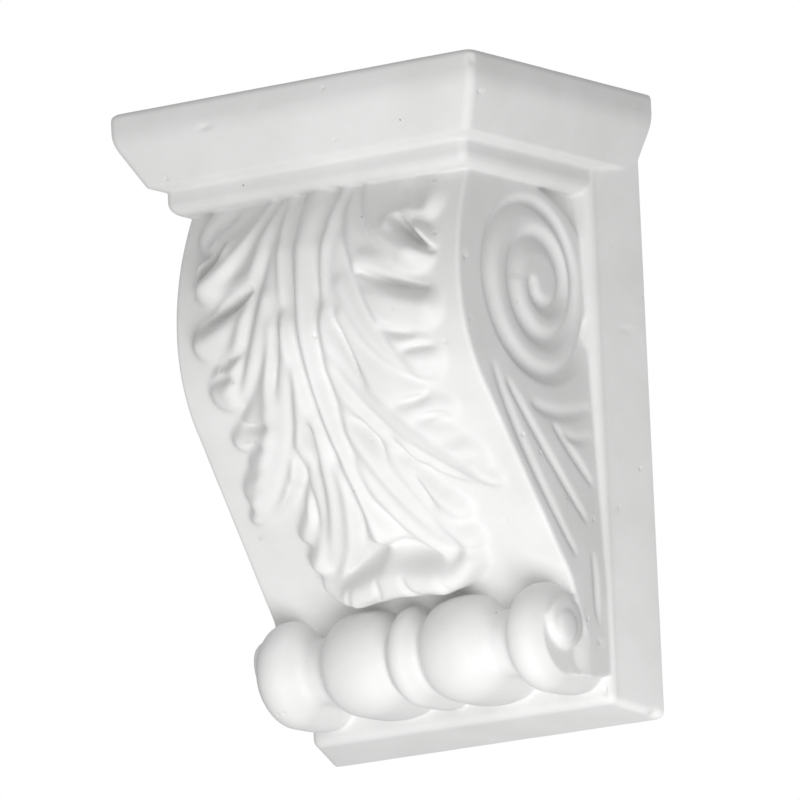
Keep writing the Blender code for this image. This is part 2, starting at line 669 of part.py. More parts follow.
def make_roll(collection):
    """The roll across the foot, with a small scroll on each end."""
    back_reach = ROLL_REACH - PLATE_THICKNESS + 2 * SINK
    end_radius = roll_radius(ROLL_HALF_LENGTH)
    rings = []
    for x in np.linspace(-ROLL_HALF_LENGTH, ROLL_HALF_LENGTH, ROLL_COLUMNS):
        rings.append(roll_ring(x, roll_radius(x), back_reach))
    for step in range(END_RINGS + 1):
        shrink = 1.0 - step / (END_RINGS + 1)
        rings.insert(0, roll_ring(-ROLL_HALF_LENGTH, end_radius, back_reach, shrink, True))
        rings.append(roll_ring(ROLL_HALF_LENGTH, end_radius, back_reach, shrink, True))
    return loft("roll", rings, collection)


def make_wall(collection):
    """The wall's face, which cuts the casting's back flat."""
    bpy.ops.mesh.primitive_cube_add(size=1.0, location=(0.0, HEIGHT / 2, 0.0))
    wall = bpy.context.object
    wall.name = "wall"
    wall.dimensions = (2 * CAP_WIDTH, HEIGHT, 2 * HEIGHT)
    bpy.ops.object.transform_apply(location=True, scale=True)
    for holder in list(wall.users_collection):
        holder.objects.unlink(wall)
    collection.objects.link(wall)
    return wall


def join(body, mass, operation):
    """Add or take away one mass with a Boolean modifier."""
    boolean = body.modifiers.new(mass.name, "BOOLEAN")
    boolean.operation = operation
    boolean.solver = "EXACT"
    boolean.object = mass
    mass.hide_render = True
    mass.display_type = "WIRE"


def main():
    """Build the corbel as one closed body."""
    clear_scene()
    castings = new_collection(NAME)
    masses = new_collection("masses")
    corbel = make_cap(castings)
    corbel.name = NAME
    corbel.data.materials.append(plaster())
    join(corbel, make_plate(masses), "UNION")
    join(corbel, make_console(masses), "UNION")
    join(corbel, make_roll(masses), "UNION")
    join(corbel, make_wall(masses), "DIFFERENCE")


main()
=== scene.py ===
import math

import bmesh
import bpy
import numpy as np
from mathutils import Matrix, Vector


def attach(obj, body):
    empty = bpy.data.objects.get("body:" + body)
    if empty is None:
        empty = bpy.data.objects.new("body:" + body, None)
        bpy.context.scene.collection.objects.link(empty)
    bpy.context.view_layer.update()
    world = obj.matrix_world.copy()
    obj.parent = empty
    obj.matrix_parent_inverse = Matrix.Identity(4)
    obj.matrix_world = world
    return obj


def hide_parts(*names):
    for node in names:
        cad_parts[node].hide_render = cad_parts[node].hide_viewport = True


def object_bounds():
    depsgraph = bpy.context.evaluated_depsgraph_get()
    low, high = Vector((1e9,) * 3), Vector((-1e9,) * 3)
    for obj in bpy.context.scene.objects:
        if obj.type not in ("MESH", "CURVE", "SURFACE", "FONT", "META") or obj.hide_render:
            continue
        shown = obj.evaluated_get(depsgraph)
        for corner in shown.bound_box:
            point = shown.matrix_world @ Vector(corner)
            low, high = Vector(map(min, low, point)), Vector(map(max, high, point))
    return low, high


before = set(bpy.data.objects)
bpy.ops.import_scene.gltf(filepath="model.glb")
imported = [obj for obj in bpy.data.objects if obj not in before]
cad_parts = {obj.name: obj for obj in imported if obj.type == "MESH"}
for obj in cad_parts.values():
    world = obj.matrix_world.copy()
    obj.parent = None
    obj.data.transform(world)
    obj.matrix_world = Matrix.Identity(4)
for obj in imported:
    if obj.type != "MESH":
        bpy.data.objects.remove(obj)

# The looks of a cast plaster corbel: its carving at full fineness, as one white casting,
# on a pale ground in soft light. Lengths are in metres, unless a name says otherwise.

for leftover in ("Cube", "Camera", "Light"):
    if leftover in bpy.data.objects:
        bpy.data.objects.remove(bpy.data.objects[leftover])

CAD_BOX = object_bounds()
MM = 0.001

# Places that the casting takes from the CAD model's box
LOW, HIGH = (Vector(corner) for corner in CAD_BOX)
HEIGHT = HIGH.z - LOW.z
CAP_WIDTH = HIGH.x - LOW.x
CAP_DEPTH = HIGH.y - LOW.y

# How deep one mass runs into the next before they are fused
SINK = 0.003

# Cap moulding, listed from the top edge down
CAP_EDGE_RADIUS = 0.0025
CAP_BAND_HEIGHT = 0.0115
CAP_SLOPE_IN = 0.0095
CAP_SLOPE_DROP = 0.0180
CAP_STEP_IN = 0.0058
CAP_STEP_DROP = 0.0020
CAP_FILLET_HEIGHT = 0.0045
CAP_OVOLO_RADIUS = 0.0052
# How far the soft turn from the band to the slope reaches along each of them
CAP_BAND_TURN = 0.0042
CAP_CORNER_RADIUS = 0.0036
CAP_ARC_STEPS = 8

# Back plate. Its sides and underside draw in by the drafts from the wall to its front.
PLATE_WIDTH = 0.160
PLATE_THICKNESS = 0.025
PLATE_SIDE_DRAFT = 0.0070
PLATE_BOTTOM_DRAFT = 0.0043
PLATE_CORNER_RADIUS = 0.003
PLATE_EDGE_RADIUS = 0.0040
CORNER_STEPS = 6

# Console. Its front bulges below the cap in two arcs, then falls back straight to the roll,
# and a heel carries it down behind the roll.
CONSOLE_HEAD_WIDTH = 0.1336
CONSOLE_FOOT_WIDTH = 0.1434
BULGE_REACH = 0.1126
BULGE_BELOW_CAP = 0.0470
BULGE_UPPER_RADIUS = 0.100
BULGE_LOWER_RADIUS = 0.066
FALL_ANGLE = math.radians(35.8)
FALL_LENGTH = 0.0868
HEEL_REACH = 0.034
HEEL_HEIGHT = 0.016
CONSOLE_EDGE_RADIUS = 0.0014

# Roll of bulbs at the foot, on an axis that lies its reach out from the wall and its height up.
# Its forms blend the more closely the higher the blend is, and its valleys are softened by
# the mean of places that lie the softness apart, in these shares.
ROLL_REACH = 0.050
ROLL_HEIGHT = 0.0295
ROLL_HALF_LENGTH = 0.0690
ROLL_NECK_RADIUS = 0.0132
RING_RADIUS = 0.0205
RING_HALF_WIDTH = 0.0066
BULB_PLACE = 0.0236
BULB_RADIUS = 0.0214
BULB_HALF_WIDTH = 0.0152
END_BULB_PLACE = 0.0600
END_BULB_RADIUS = 0.0218
END_BULB_HALF_WIDTH = 0.0094
ROLL_BLEND = 4
ROLL_SOFTNESS = 0.0016
ROLL_SOFTENING = (0.1, 0.2, 0.4, 0.2, 0.1)

# Fineness of the carved masses
HALF_FACE_COLUMNS = 130
SIDE_COLUMNS = 130
CONSOLE_ROWS = 330
HEEL_ROWS = 30
ROLL_COLUMNS = 220
ROLL_SPOKES = 120
END_RINGS = 26
CURVE_STEPS = 130

# How many times each carving is softened
LEAF_SOFTENING = 8
SLIT_SOFTENING = 4
SIDE_SOFTENING = 7

# Fineness of the fused casting, how it is smoothed, and how sharp an edge stays crisp
CAST_GRAIN = 0.00065
CAST_SMOOTHING = 5
CAST_SMOOTHING_STRENGTH = 0.5
CAST_TRIANGLES = 190000
CRISP_EDGE_ANGLE = math.radians(65)

# The cast surface: slow waves, and pinholes that air left in the mould, to the square metre
WAVE_LENGTH = 0.020
WAVE_HEIGHT = 0.00022
WAVE_DETAIL = 2.0
PINHOLE_DENSITY = 900.0
PINHOLE_RADIUS = 0.0011
PINHOLE_DEPTH = 0.0010
SMALLEST_PINHOLE_SHARE = 0.35
PINHOLE_SEED = 5

# Marks in the plaster: a place, how far each reaches along X, Y and Z, and its depth
MARKS = {
    "pit beside the roll": ((0.0687, -0.025, -0.1148), (0.0010, 0.0040, 0.0022), 0.0016),
    "nick in the cap's lip": ((-0.041, -0.126, 0.1130), (0.0030, 0.0020, 0.0012), 0.0008),
    "nick in the cap's corner": ((0.0875, -0.1250, 0.1205), (0.0016, 0.0016, 0.0022), 0.0009),
    "nick in the plate's edge": ((0.0790, -0.010, 0.030), (0.0030, 0.0030, 0.0014), 0.0005),
    "chip at the plate's foot": ((0.0780, -0.004, -0.1240), (0.0022, 0.0022, 0.0022), 0.0011),
    "dent in the face": ((0.0630, -0.104, 0.045), (0.0020, 0.0040, 0.0020), 0.0006),
}

# The plaster's tones: at its lightest, in its darker clouds, and in its specks, which are painted
# shade standing in for pinholes too fine for the mesh
LIGHT_TONE = (0.850, 0.850, 0.846, 1.0)
DARK_TONE = (0.785, 0.784, 0.778, 1.0)
PAINTED_PINHOLE_SHADE_TONE = (0.42, 0.41, 0.39, 1.0)

# Its clouds, with the cloud values between which the tone and the roughness change
CLOUDS_PER_METRE = 28.0
CLOUD_DETAIL = 5.0
CLOUD_BREAKUP = 0.6
TONE_CLOUDS = (0.34, 0.66)
ROUGHNESS_CLOUDS = (0.3, 0.7)
SMOOTH_ROUGHNESS = 0.52
CHALKY_ROUGHNESS = 0.74
PLASTER_SHINE = 0.4

# Its specks of painted pinhole shade: how much of its cell each fills, how softly it ends, and the
# share left out
PAINTED_PINHOLES_PER_METRE = 120.0
PAINTED_PINHOLE_SHARE = 0.040
PAINTED_PINHOLE_FADE = 1.6
PAINTED_PINHOLES_LEFT_OUT = 0.90

# Its grain
GRAIN_PER_METRE = 900.0
GRAIN_DETAIL = 3.0
GRAIN_BREAKUP = 0.65
GRAIN_STRENGTH = 0.10
GRAIN_DEPTH = 0.0004

# The leaf, drawn in millimetres on half a face: across from the middle, down from the cap
DRAWN_HALF_FACE = 69.0
DRAWN_FACE_LENGTH = 177.0

# The heel lies this many face lengths down, so that the leaf stops short of it
PAST_FACE = 2.0

# The leaf lies lower under the cap, at this share of its height, and reaches its full height
# this far down
TOP_SHARE = 0.5
TOP_FADE = 30.0

# How flat the tops of the petals and of the turned tip are, how closely forms meet, how
# sharp a rib is, and the height of sheet that bears a full rib
PETAL_FLATNESS = 1.5
TIP_FLATNESS = 1.8
BLEND = 8
RIB_SHARPNESS = 1.6
FULL_RIB_SHEET = 3.0

# How sharp a cut is, how far into its own rise it starts, and its width at the ends as a
# share of its full one. A slit goes no lower than its floor.
CUT_SHARPNESS = 2.2
CUT_START = 0.08
CUT_END_WIDTH = 0.4
SLIT_FLOOR = -3.0

# Petals make the leaf's sheet. Each has a curve of four points, its half width at the root,
# how far it swells between root and tip, its half width at the tip, and its height at both.
PETALS = {
    "stem": ((0, -6), (0, 50), (0, 104), (0, 158), 13.0, -1.0, 7.0, 10.0, 9.5),
    "crown back": ((14, -6), (30, -6), (44, 0), (50, 12), 11.0, 3.0, 10.0, 8.0, 7.0),
    "crown front": ((14, 0), (22, 14), (34, 26), (49, 33), 10.0, 1.0, 9.5, 9.0, 9.0),
    "upper lobe": ((8, 14), (18, 34), (34, 50), (51, 56), 10.0, 2.0, 8.5, 10.0, 5.0),
    "upper lobe front": ((8, 30), (18, 52), (34, 66), (47, 76), 9.0, 3.0, 8.5, 10.0, 4.6),
    "middle lobe back": ((8, 56), (20, 78), (36, 92), (48, 97), 8.0, 2.0, 4.8, 9.5, 4.2),
    "middle lobe": ((6, 60), (18, 92), (36, 110), (50, 120), 9.0, 4.5, 7.0, 10.0, 5.0),
    "middle lobe tip": ((12, 84), (26, 108), (42, 122), (56, 131), 7.0, 3.0, 3.0, 8.0, 4.2),
    "lower lobe back": ((4, 92), (12, 116), (22, 130), (35, 141), 7.0, 2.5, 5.0, 9.5, 5.0),
    "lower lobe": ((3, 100), (9, 126), (19, 143), (34, 153), 7.0, 3.5, 6.0, 9.5, 6.0),
    "lower lobe front": ((3, 112), (6, 136), (13, 150), (24, 159), 6.0, 2.0, 5.0, 9.0, 6.0),
}

# Ribs stand on the sheet: a curve of four points, half widths and rises at both ends
RIBS = {
    "stem": ((0, -6), (0, 45), (0, 90), (0, 160), 4.4, 2.6, 3.6, 2.8),
    "stem side": ((15, -6), (12, 22), (10, 50), (9, 92), 4.6, 2.8, 2.4, 2.4),
    "crown rib": ((22, -4), (24, 18), (32, 29), (50, 37), 2.6, 4.0, 2.4, 2.4),
    "crown curl": ((54, -4), (64, 4), (64, 22), (54, 25), 3.6, 4.2, 1.6, 3.4),
    "crown curl end": ((40, 24), (41, 17), (47, 16), (52, 23), 3.4, 3.6, 2.6, 2.6),
    "shoulder end": ((28, 35), (31, 36), (36, 37), (44, 39), 3.8, 4.6, 2.6, 1.6),
    "upper rib": ((16, 0), (23, 28), (27, 52), (45, 76), 4.6, 3.8, 3.0, 1.8),
    "upper rib back": ((20, 26), (28, 44), (40, 54), (56, 57), 4.6, 4.2, 1.8, 1.8),
    "upper rib front": ((18, 44), (24, 62), (33, 74), (48, 85), 3.4, 3.0, 2.2, 1.4),
    "middle rib": ((16, 56), (22, 80), (34, 98), (53, 125), 4.4, 3.6, 3.0, 2.0),
    "middle rib back": ((22, 76), (30, 92), (40, 97), (50, 100), 3.4, 2.8, 1.6, 1.2),
    "middle rib front": ((9, 72), (15, 98), (30, 120), (50, 134), 4.0, 2.6, 2.6, 1.4),
    "lower rib back": ((16, 96), (22, 116), (26, 128), (35, 141), 3.0, 2.4, 2.0, 1.2),
    "lower rib": ((8, 96), (13, 122), (19, 140), (37, 156), 3.8, 2.8, 2.6, 1.8),
    "lower rib front": ((4, 112), (8, 132), (13, 148), (25, 161), 3.0, 2.6, 2.2, 1.6),
}

# The turned tip stands clear of the sheet, as a curve of three points, half widths and heights
TURNED_TIP = {
    "lip": ((0, 163), (10, 165), (20, 167), 9.0, 7.2, 16.0, 15.0),
    "lip end": ((20, 167), (26, 168), (32, 162), 7.0, 5.0, 14.0, 9.0),
}

# Cuts between the lobes: a curve of three points, a half width and a depth
CUTS = {
    "beside the stem": ((9, -6), (4.5, 50), (3, 134), 2.6, 4.4),
    "outside the stem": ((18, -6), (14, 22), (11.5, 52), 2.2, 2.8),
    "crown pocket": ((42, 6), (49, 9), (52, 17), 4.4, 3.6),
    "crown groove": ((19, -4), (21, 24), (44, 38), 2.4, 3.6),
    "shoulder dip": ((24, 43), (38, 47), (54, 51), 4.6, 3.0),
    "upper groove": ((15, 14), (20, 42), (41, 80), 2.4, 3.4),
    "upper dip 1": ((30, 60), (40, 65), (48, 66), 3.4, 2.4),
    "upper dip 2": ((38, 71), (46, 70), (54, 73), 3.2, 2.0),
    "upper eye": ((13, 54), (17, 66), (22, 80), 2.8, 5.0),
    "middle dip 1": ((28, 90), (38, 92), (46, 90), 3.2, 2.4),
    "middle dip 2": ((36, 99), (44, 98), (51, 100), 3.0, 2.0),
    "middle dip 3": ((41, 109), (48, 110), (55, 111), 2.6, 1.8),
    "middle dip 4": ((46, 118), (50, 118), (56, 120), 2.6, 1.6),
    "long vein a": ((9, 68), (15, 88), (28, 108), 2.4, 3.8),
    "long vein b": ((24, 102), (36, 119), (51, 132), 2.2, 3.2),
    "middle eye": ((12, 94), (14, 104), (16, 114), 2.6, 4.6),
    "middle cut": ((21, 101), (24, 109), (26, 118), 2.0, 3.6),
    "lower vein": ((14, 112), (18, 130), (31, 154), 2.2, 3.6),
    "lower cut": ((23, 116), (25, 127), (28, 138), 1.8, 3.4),
    "lower edge": ((31, 116), (33, 124), (32, 133), 1.8, 3.0),
    "tip vein": ((3, 126), (6, 146), (24, 161), 2.6, 4.6),
    "tip hollow": ((-20, 159), (0, 143), (20, 159), 4.2, 10.0),
}

# Slits cut after the leaf is softened, drawn as the cuts are
SLITS = {
    "crown": ((42, 21), (48, 28), (57, 35), 2.5, 14.0),
    "shoulder": ((26, 40), (38, 46), (54, 50), 2.1, 9.0),
    "upper 1": ((33, 61), (39, 65), (46, 66), 1.5, 3.2),
    "upper 2": ((41, 71), (47, 70), (53, 72), 1.5, 3.2),
    "middle 1": ((31, 90), (37, 92), (44, 90), 1.6, 3.4),
    "middle 2": ((38, 99), (44, 98), (49, 99), 1.4, 2.6),
    "upper eye": ((14, 58), (17, 66), (20, 76), 1.6, 2.6),
    "middle eye": ((13, 97), (14, 104), (16, 111), 1.6, 2.6),
    "middle cut": ((22, 103), (24, 109), (25, 116), 1.3, 1.8),
    "lower cut": ((23, 120), (25, 128), (27, 136), 1.3, 1.8),
    "tip curl": ((6, 160), (5, 172), (18, 170), 1.5, 2.6),
    "tip scallop": ((20, 163), (23, 168), (23, 173), 1.4, 2.0),
}

# The side, drawn in millimetres: out from the wall and up from the foot
DRAWN_REACH = 112.6
DRAWN_SIDE_HEIGHT = 250.0

# The scroll's groove winds out from its centre, with a radius for each quarter turn from the
# one that points out from the wall. Each ring rises from the groove to its crest, at a share
# of its width, and drops into the next groove, the more steeply the higher the fall is.
SCROLL_CENTRE = (55.0, 170.0)
SCROLL_START = math.pi
SCROLL_END = SCROLL_START + 9.75 * math.pi / 2
SCROLL_RADII = (5.3, 10.5, 18.0, 19.5, 19.5, 25.0, 23.8, 31.0, 38.0, 39.5, 33.0)
SCROLL_DEPTH = 4.6
SCROLL_CREST = 0.45
SCROLL_FALL = 4.5
SCROLL_TURNS = 3

# A flat ribbon goes round the scroll, out to a recess in the corner of the cap and plate
RIBBON_EDGE = 2.0
RIBBON_RADIUS = 37.0
SCROLL_RECESS = 4.4
RECESS_EDGE = 10.0

# Flutes and crescents below the scroll, drawn as the cuts are
SIDE_CUTS = {
    "ribbon edge": ((92, 131), (82, 107), (45, 63), 2.6, 2.0),
    "long flute": ((83, 126), (64, 105), (36, 77), 2.0, 2.8),
    "short flute": ((53, 112), (42, 103), (30, 92), 2.0, 2.8),
    "upper crescent": ((66, 119), (48, 114), (29, 122), 3.0, 2.4),
    "lower crescent": ((46, 110), (38, 106), (29, 111), 2.2, 1.8),
    "foot groove": ((32, 62), (31, 50), (31.5, 38), 2.4, 1.5),
}

# The small scroll on each end of the roll, in millimetres from the roll's axis: out from the
# wall and up. A boss with an eye in it leans up and back over a hollow inside the rim, and
# the end comes flush with the console behind.
EYE_PLACE = (4.5, 2.6)
EYE_RADIUS = 6.3
EYE_HEIGHT = 1.8
BOSS_RADIUS = 11.5
BOSS_LEAN = 4.0
BOSS_LEAN_ANGLE = math.radians(60)
BOSS_HEIGHT = 3.7
HOLLOW_DEPTH = 2.0
RIM_SHARE = 0.78
FLUSH_RISE = 2.6
FLUSH_FROM = 3.0
FLUSH_TO = -13.0
BACK_GROOVE = -19.0
BACK_GROOVE_WIDTH = 2.2
BACK_GROOVE_DEPTH = 1.5
BACK_GROOVE_FADE = 12.0

# The photograph's view, toward a target in the casting's middle, and where the target lies in
# the picture, in pixels from its upper left corner
VIEW_AZIMUTH = math.radians(34.5)
VIEW_ELEVATION = math.radians(-10.43)
VIEW_ROLL = math.radians(-2.51)
VIEW_FOCAL_PIXELS = 12000.0
VIEW_DEPTH = 4.744
VIEW_TARGET = Vector((0.0, -0.050, 0.0))
TARGET_PIXEL = (411.3, 418.4)
PICTURE_PIXELS = 800
SENSOR_MM = 36.0

# Stage and light. Each light has a direction, a distance, a size and a power.
FLOOR_HEIGHT = -1.70
FLOOR_SIZE = 30.0
FLOOR_TONE = (0.9, 0.9, 0.9, 1.0)
FLOOR_ROUGHNESS = 0.9
BACKDROP_DISTANCE = 6.5
BACKDROP_SIZE = 3.0
SURROUND_LIGHT = 0.445
LIGHTS = (
    ("key", (0.44, -0.64, -0.68), 0.70, 0.48, 3.15),
    ("front fill", (0.4, -0.9, 0.15), 1.7, 0.9, 2.4),
)


def smooth_step(value):
    """Rise from 0 to 1 as value does, level at both ends."""
    share = np.clip(value, 0.0, 1.0)
    return share * share * (3.0 - 2.0 * share)


def curve_points(points):
    """Points along the curve that three or four drawn points pull."""
    share = np.linspace(0.0, 1.0, CURVE_STEPS)[:, None]
    layer = [np.asarray(point, float)[None, :] for point in points]
    while len(layer) > 1:
        layer = [a * (1.0 - share) + b * share for a, b in zip(layer, layer[1:])]
    return layer[0]


def along(points):
    """Shares and places along the curve of some drawn points."""
    return zip(np.linspace(0.0, 1.0, CURVE_STEPS), curve_points(points))


def petal_height(across, down, petal):
    """Height of a flat-topped petal with a rounded edge."""
    *points, root_width, swell, tip_width, root_height, tip_height = petal
    height = np.zeros_like(across)
    for share, (x, y) in along(points):
        width = root_width + (tip_width - root_width) * share
        width += swell * math.sin(math.pi * share)
        rise = root_height + (tip_height - root_height) * share
        off = ((across - x) ** 2 + (down - y) ** 2) / width ** 2
        top = np.sqrt(np.clip(1.0 - off ** PETAL_FLATNESS, 0.0, 1.0))
        height = np.maximum(height, rise * top)
    return height


def dome_height(across, down, boss):
    """Height of a round-topped boss."""
    *points, root_width, tip_width, root_height, tip_height = boss
    height = np.zeros_like(across)
    for share, (x, y) in along(points):
        width = root_width + (tip_width - root_width) * share
        rise = root_height + (tip_height - root_height) * share
        off = ((across - x) ** 2 + (down - y) ** 2) / width ** 2
        top = np.sqrt(np.clip(1.0 - off ** TIP_FLATNESS, 0.0, 1.0))
        height = np.maximum(height, rise * top)
    return height


def rib_rise(across, down, rib):
    """Rise of a soft rib over the sheet, strongest in its middle."""
    *points, root_width, tip_width, root_rise, tip_rise = rib
    rise = np.zeros_like(across)
    for share, (x, y) in along(points):
        width = root_width + (tip_width - root_width) * share
        full = root_rise + (tip_rise - root_rise) * share
        off = ((across - x) ** 2 + (down - y) ** 2) / width ** 2
        rise = np.maximum(rise, full * np.exp(-RIB_SHARPNESS * off))
    return rise


def cut_depth(across, down, cut):
    """Depth of a rounded cut that follows a curve and dies out at both ends."""
    *points, width, depth = cut
    deepest = np.zeros_like(across)
    for share, (x, y) in along(points):
        strength = math.sin(math.pi * (CUT_START + (1.0 - 2.0 * CUT_START) * share)) ** 0.5
        reach = width * (CUT_END_WIDTH + (1.0 - CUT_END_WIDTH) * strength)
        off = ((across - x) ** 2 + (down - y) ** 2) / reach ** 2
        deepest = np.maximum(deepest, depth * strength * np.exp(-CUT_SHARPNESS * off))
    return deepest


def soften(relief, times):
    """Round a carved surface, as paint and casting do."""
    for _ in range(times):
        wide = np.pad(relief, 1, mode="edge")
        rows = (wide[:-2] + 2 * wide[1:-1] + wide[2:]) / 4
        relief = (rows[:, :-2] + 2 * rows[:, 1:-1] + rows[:, 2:]) / 4
    return relief


def blend(forms):
    """The highest of several forms at each place, with soft joins."""
    return sum(form ** BLEND for form in forms) ** (1.0 / BLEND)


def leaf_height(across, down):
    """Height of the leaf, for places as shares of half the face's width and of its length."""
    u = np.abs(across) * DRAWN_HALF_FACE
    v = down * DRAWN_FACE_LENGTH
    sheet = blend(petal_height(u, v, petal) for petal in PETALS.values())
    rise = blend(rib_rise(u, v, rib) for rib in RIBS.values())
    height = sheet + rise * smooth_step(sheet / FULL_RIB_SHEET)
    height = height * (TOP_SHARE + (1.0 - TOP_SHARE) * smooth_step(v / TOP_FADE))
    depth = np.zeros_like(u)
    for cut in CUTS.values():
        depth = np.maximum(depth, cut_depth(u, v, cut))
    height = height - np.minimum(depth, height)
    for tip in TURNED_TIP.values():
        height = np.maximum(height, dome_height(u, v, tip))
    height = soften(height, LEAF_SOFTENING)
    slit = np.zeros_like(u)
    for cut in SLITS.values():
        slit = np.maximum(slit, cut_depth(u, v, cut))
    height = height - np.minimum(slit, np.maximum(height - SLIT_FLOOR, 0.0))
    return soften(height, SLIT_SOFTENING) * MM


def scroll_radius(turn):
    """Radius of the scroll's groove after an angle, smoothed between its quarter turns."""
    place = np.clip((turn - SCROLL_START) / (math.pi / 2), 0.0, len(SCROLL_RADII) - 1.001)
    before = place.astype(int)
    share = place - before
    radii = np.array((SCROLL_RADII[0],) + SCROLL_RADII + (SCROLL_RADII[-1],) * 2)
    a, b, c, d = (radii[before + k] for k in range(4))
    return b + 0.5 * share * (
        c - a + share * (2 * a - 5 * b + 4 * c - d + share * (3 * (b - c) + d - a))
    )


def scroll_depth(out, up):
    """How deep the scroll is cut at a place on the drawn side."""
    dy = SCROLL_CENTRE[0] - out
    dz = up - SCROLL_CENTRE[1]
    radius = np.hypot(dy, dz)
    angle = np.arctan2(dz, dy) % (2 * math.pi)
    inner = np.zeros_like(radius)
    outer = np.full_like(radius, np.nan)
    for turn in range(SCROLL_TURNS):
        whole = angle + 2 * math.pi * turn
        groove = scroll_radius(whole)
        reached = (whole >= SCROLL_START) & (whole <= SCROLL_END)
        passed = reached & (radius >= groove)
        inner = np.where(passed, groove, inner)
        fresh = reached & (radius < groove) & np.isnan(outer)
        outer = np.where(fresh, groove, outer)
    inside = ~np.isnan(outer)
    share = np.where(inside, (outer - radius) / np.maximum(outer - inner, 1e-6), 0.0)
    rise = smooth_step(share / SCROLL_CREST)
    fall = np.clip((share - SCROLL_CREST) / (1.0 - SCROLL_CREST), 0.0, 1.0) ** SCROLL_FALL
    fall = np.where(inner > 0, fall, 0.0)
    ring = SCROLL_DEPTH * (1.0 - rise * (1.0 - fall))
    ribbon = SCROLL_DEPTH * (1.0 - smooth_step((radius - inner) / RIBBON_EDGE))
    recess = SCROLL_RECESS * smooth_step((radius - RIBBON_RADIUS) / RIBBON_EDGE)
    behind = smooth_step(dy / RECESS_EDGE) * smooth_step(dz / RECESS_EDGE - 1.0)
    return np.where(inside, ring, np.maximum(ribbon, recess * behind))


def side_depth(out, up):
    """How deep the side is carved, for places as shares of the reach and of the height."""
    y = out * DRAWN_REACH
    z = up * DRAWN_SIDE_HEIGHT
    depth = scroll_depth(y, z)
    for cut in SIDE_CUTS.values():
        depth = np.maximum(depth, cut_depth(y, z, cut))
    return soften(depth, SIDE_SOFTENING) * MM


def loft(rings):
    """A closed mesh through rings of points, given as an array (rings, points, 3)."""
    rings = np.asarray(rings, float)
    ring_count, count = rings.shape[:2]
    start = np.arange(ring_count - 1)[:, None] * count
    here = np.arange(count)[None, :]
    after = (here + 1) % count
    quads = np.stack([start + here, start + after, start + count + after, start + count + here], -1)
    faces = quads.reshape(-1, 4).tolist()
    faces.append(list(range(count))[::-1])
    faces.append(list(range((ring_count - 1) * count, ring_count * count)))
    mesh = bpy.data.meshes.new("mass")
    mesh.from_pydata(rings.reshape(-1, 3).tolist(), [], faces)
    bm = bmesh.new()
    bm.from_mesh(mesh)
    bmesh.ops.recalc_face_normals(bm, faces=bm.faces)
    bm.to_mesh(mesh)
    bm.free()
    return mesh


def cap_profile():
    """The cap's moulding as (inset, drop) from its top edge to its underside."""
    profile = []
    for step in range(CAP_ARC_STEPS + 1):
        angle = math.pi / 2 * step / CAP_ARC_STEPS
        profile.append((
            CAP_EDGE_RADIUS * (1.0 - math.sin(angle)),
            CAP_EDGE_RADIUS * (1.0 - math.cos(angle)),
        ))
    slope = math.hypot(CAP_SLOPE_IN, CAP_SLOPE_DROP)
    for step in range(CAP_ARC_STEPS + 1):
        share = step / CAP_ARC_STEPS
        above = CAP_BAND_TURN * (1.0 - share) ** 2
        below = CAP_BAND_TURN * share ** 2 / slope
        profile.append((CAP_SLOPE_IN * below, CAP_BAND_HEIGHT - above + CAP_SLOPE_DROP * below))
    inset, drop = CAP_SLOPE_IN, CAP_BAND_HEIGHT + CAP_SLOPE_DROP
    profile.append((inset, drop))
    inset, drop = inset + CAP_STEP_IN, drop + CAP_STEP_DROP
    profile.append((inset, drop))
    drop += CAP_FILLET_HEIGHT
    for step in range(CAP_ARC_STEPS + 1):
        angle = math.pi / 2 * step / CAP_ARC_STEPS
        profile.append((
            inset + CAP_OVOLO_RADIUS * (1.0 - math.cos(angle)),
            drop + CAP_OVOLO_RADIUS * math.sin(angle),
        ))
    return profile


def cap_underside():
    """Height of the cap's underside, where the console starts."""
    return HIGH.z - cap_profile()[-1][1]


def add_node(tree, kind, inputs=None, **settings):
    """Add a node to a tree, with its settings and with its inputs set or linked."""
    node = tree.nodes.new(kind)
    for name, value in settings.items():
        setattr(node, name, value)
    for name, source in (inputs or {}).items():
        if isinstance(source, bpy.types.NodeSocket):
            tree.links.new(source, node.inputs[name])
        else:
            node.inputs[name].default_value = source
    return node


def work_out(tree, operation, *values):
    """The result of a sum, product or other operation on values in a tree."""
    return add_node(tree, "ShaderNodeMath", dict(enumerate(values)), operation=operation).outputs[0]


def new_shape_tree(name, inputs):
    """A tree of geometry nodes with named inputs, and its input node."""
    tree = bpy.data.node_groups.new(name, "GeometryNodeTree")
    tree.interface.new_socket("Geometry", in_out="INPUT", socket_type="NodeSocketGeometry")
    for label, kind in inputs.items():
        tree.interface.new_socket(label, in_out="INPUT", socket_type=kind)
    tree.interface.new_socket("Geometry", in_out="OUTPUT", socket_type="NodeSocketGeometry")
    return tree, tree.nodes.new("NodeGroupInput").outputs


def end_shape_tree(tree, given, geometry):
    """Close a tree: one plain mesh, in its material."""
    real = add_node(tree, "GeometryNodeRealizeInstances", {"Geometry": geometry})
    coated = add_node(tree, "GeometryNodeSetMaterial", {
        "Geometry": real.outputs["Geometry"], "Material": given["Material"],
    })
    add_node(tree, "NodeGroupOutput", {"Geometry": coated.outputs["Geometry"]})


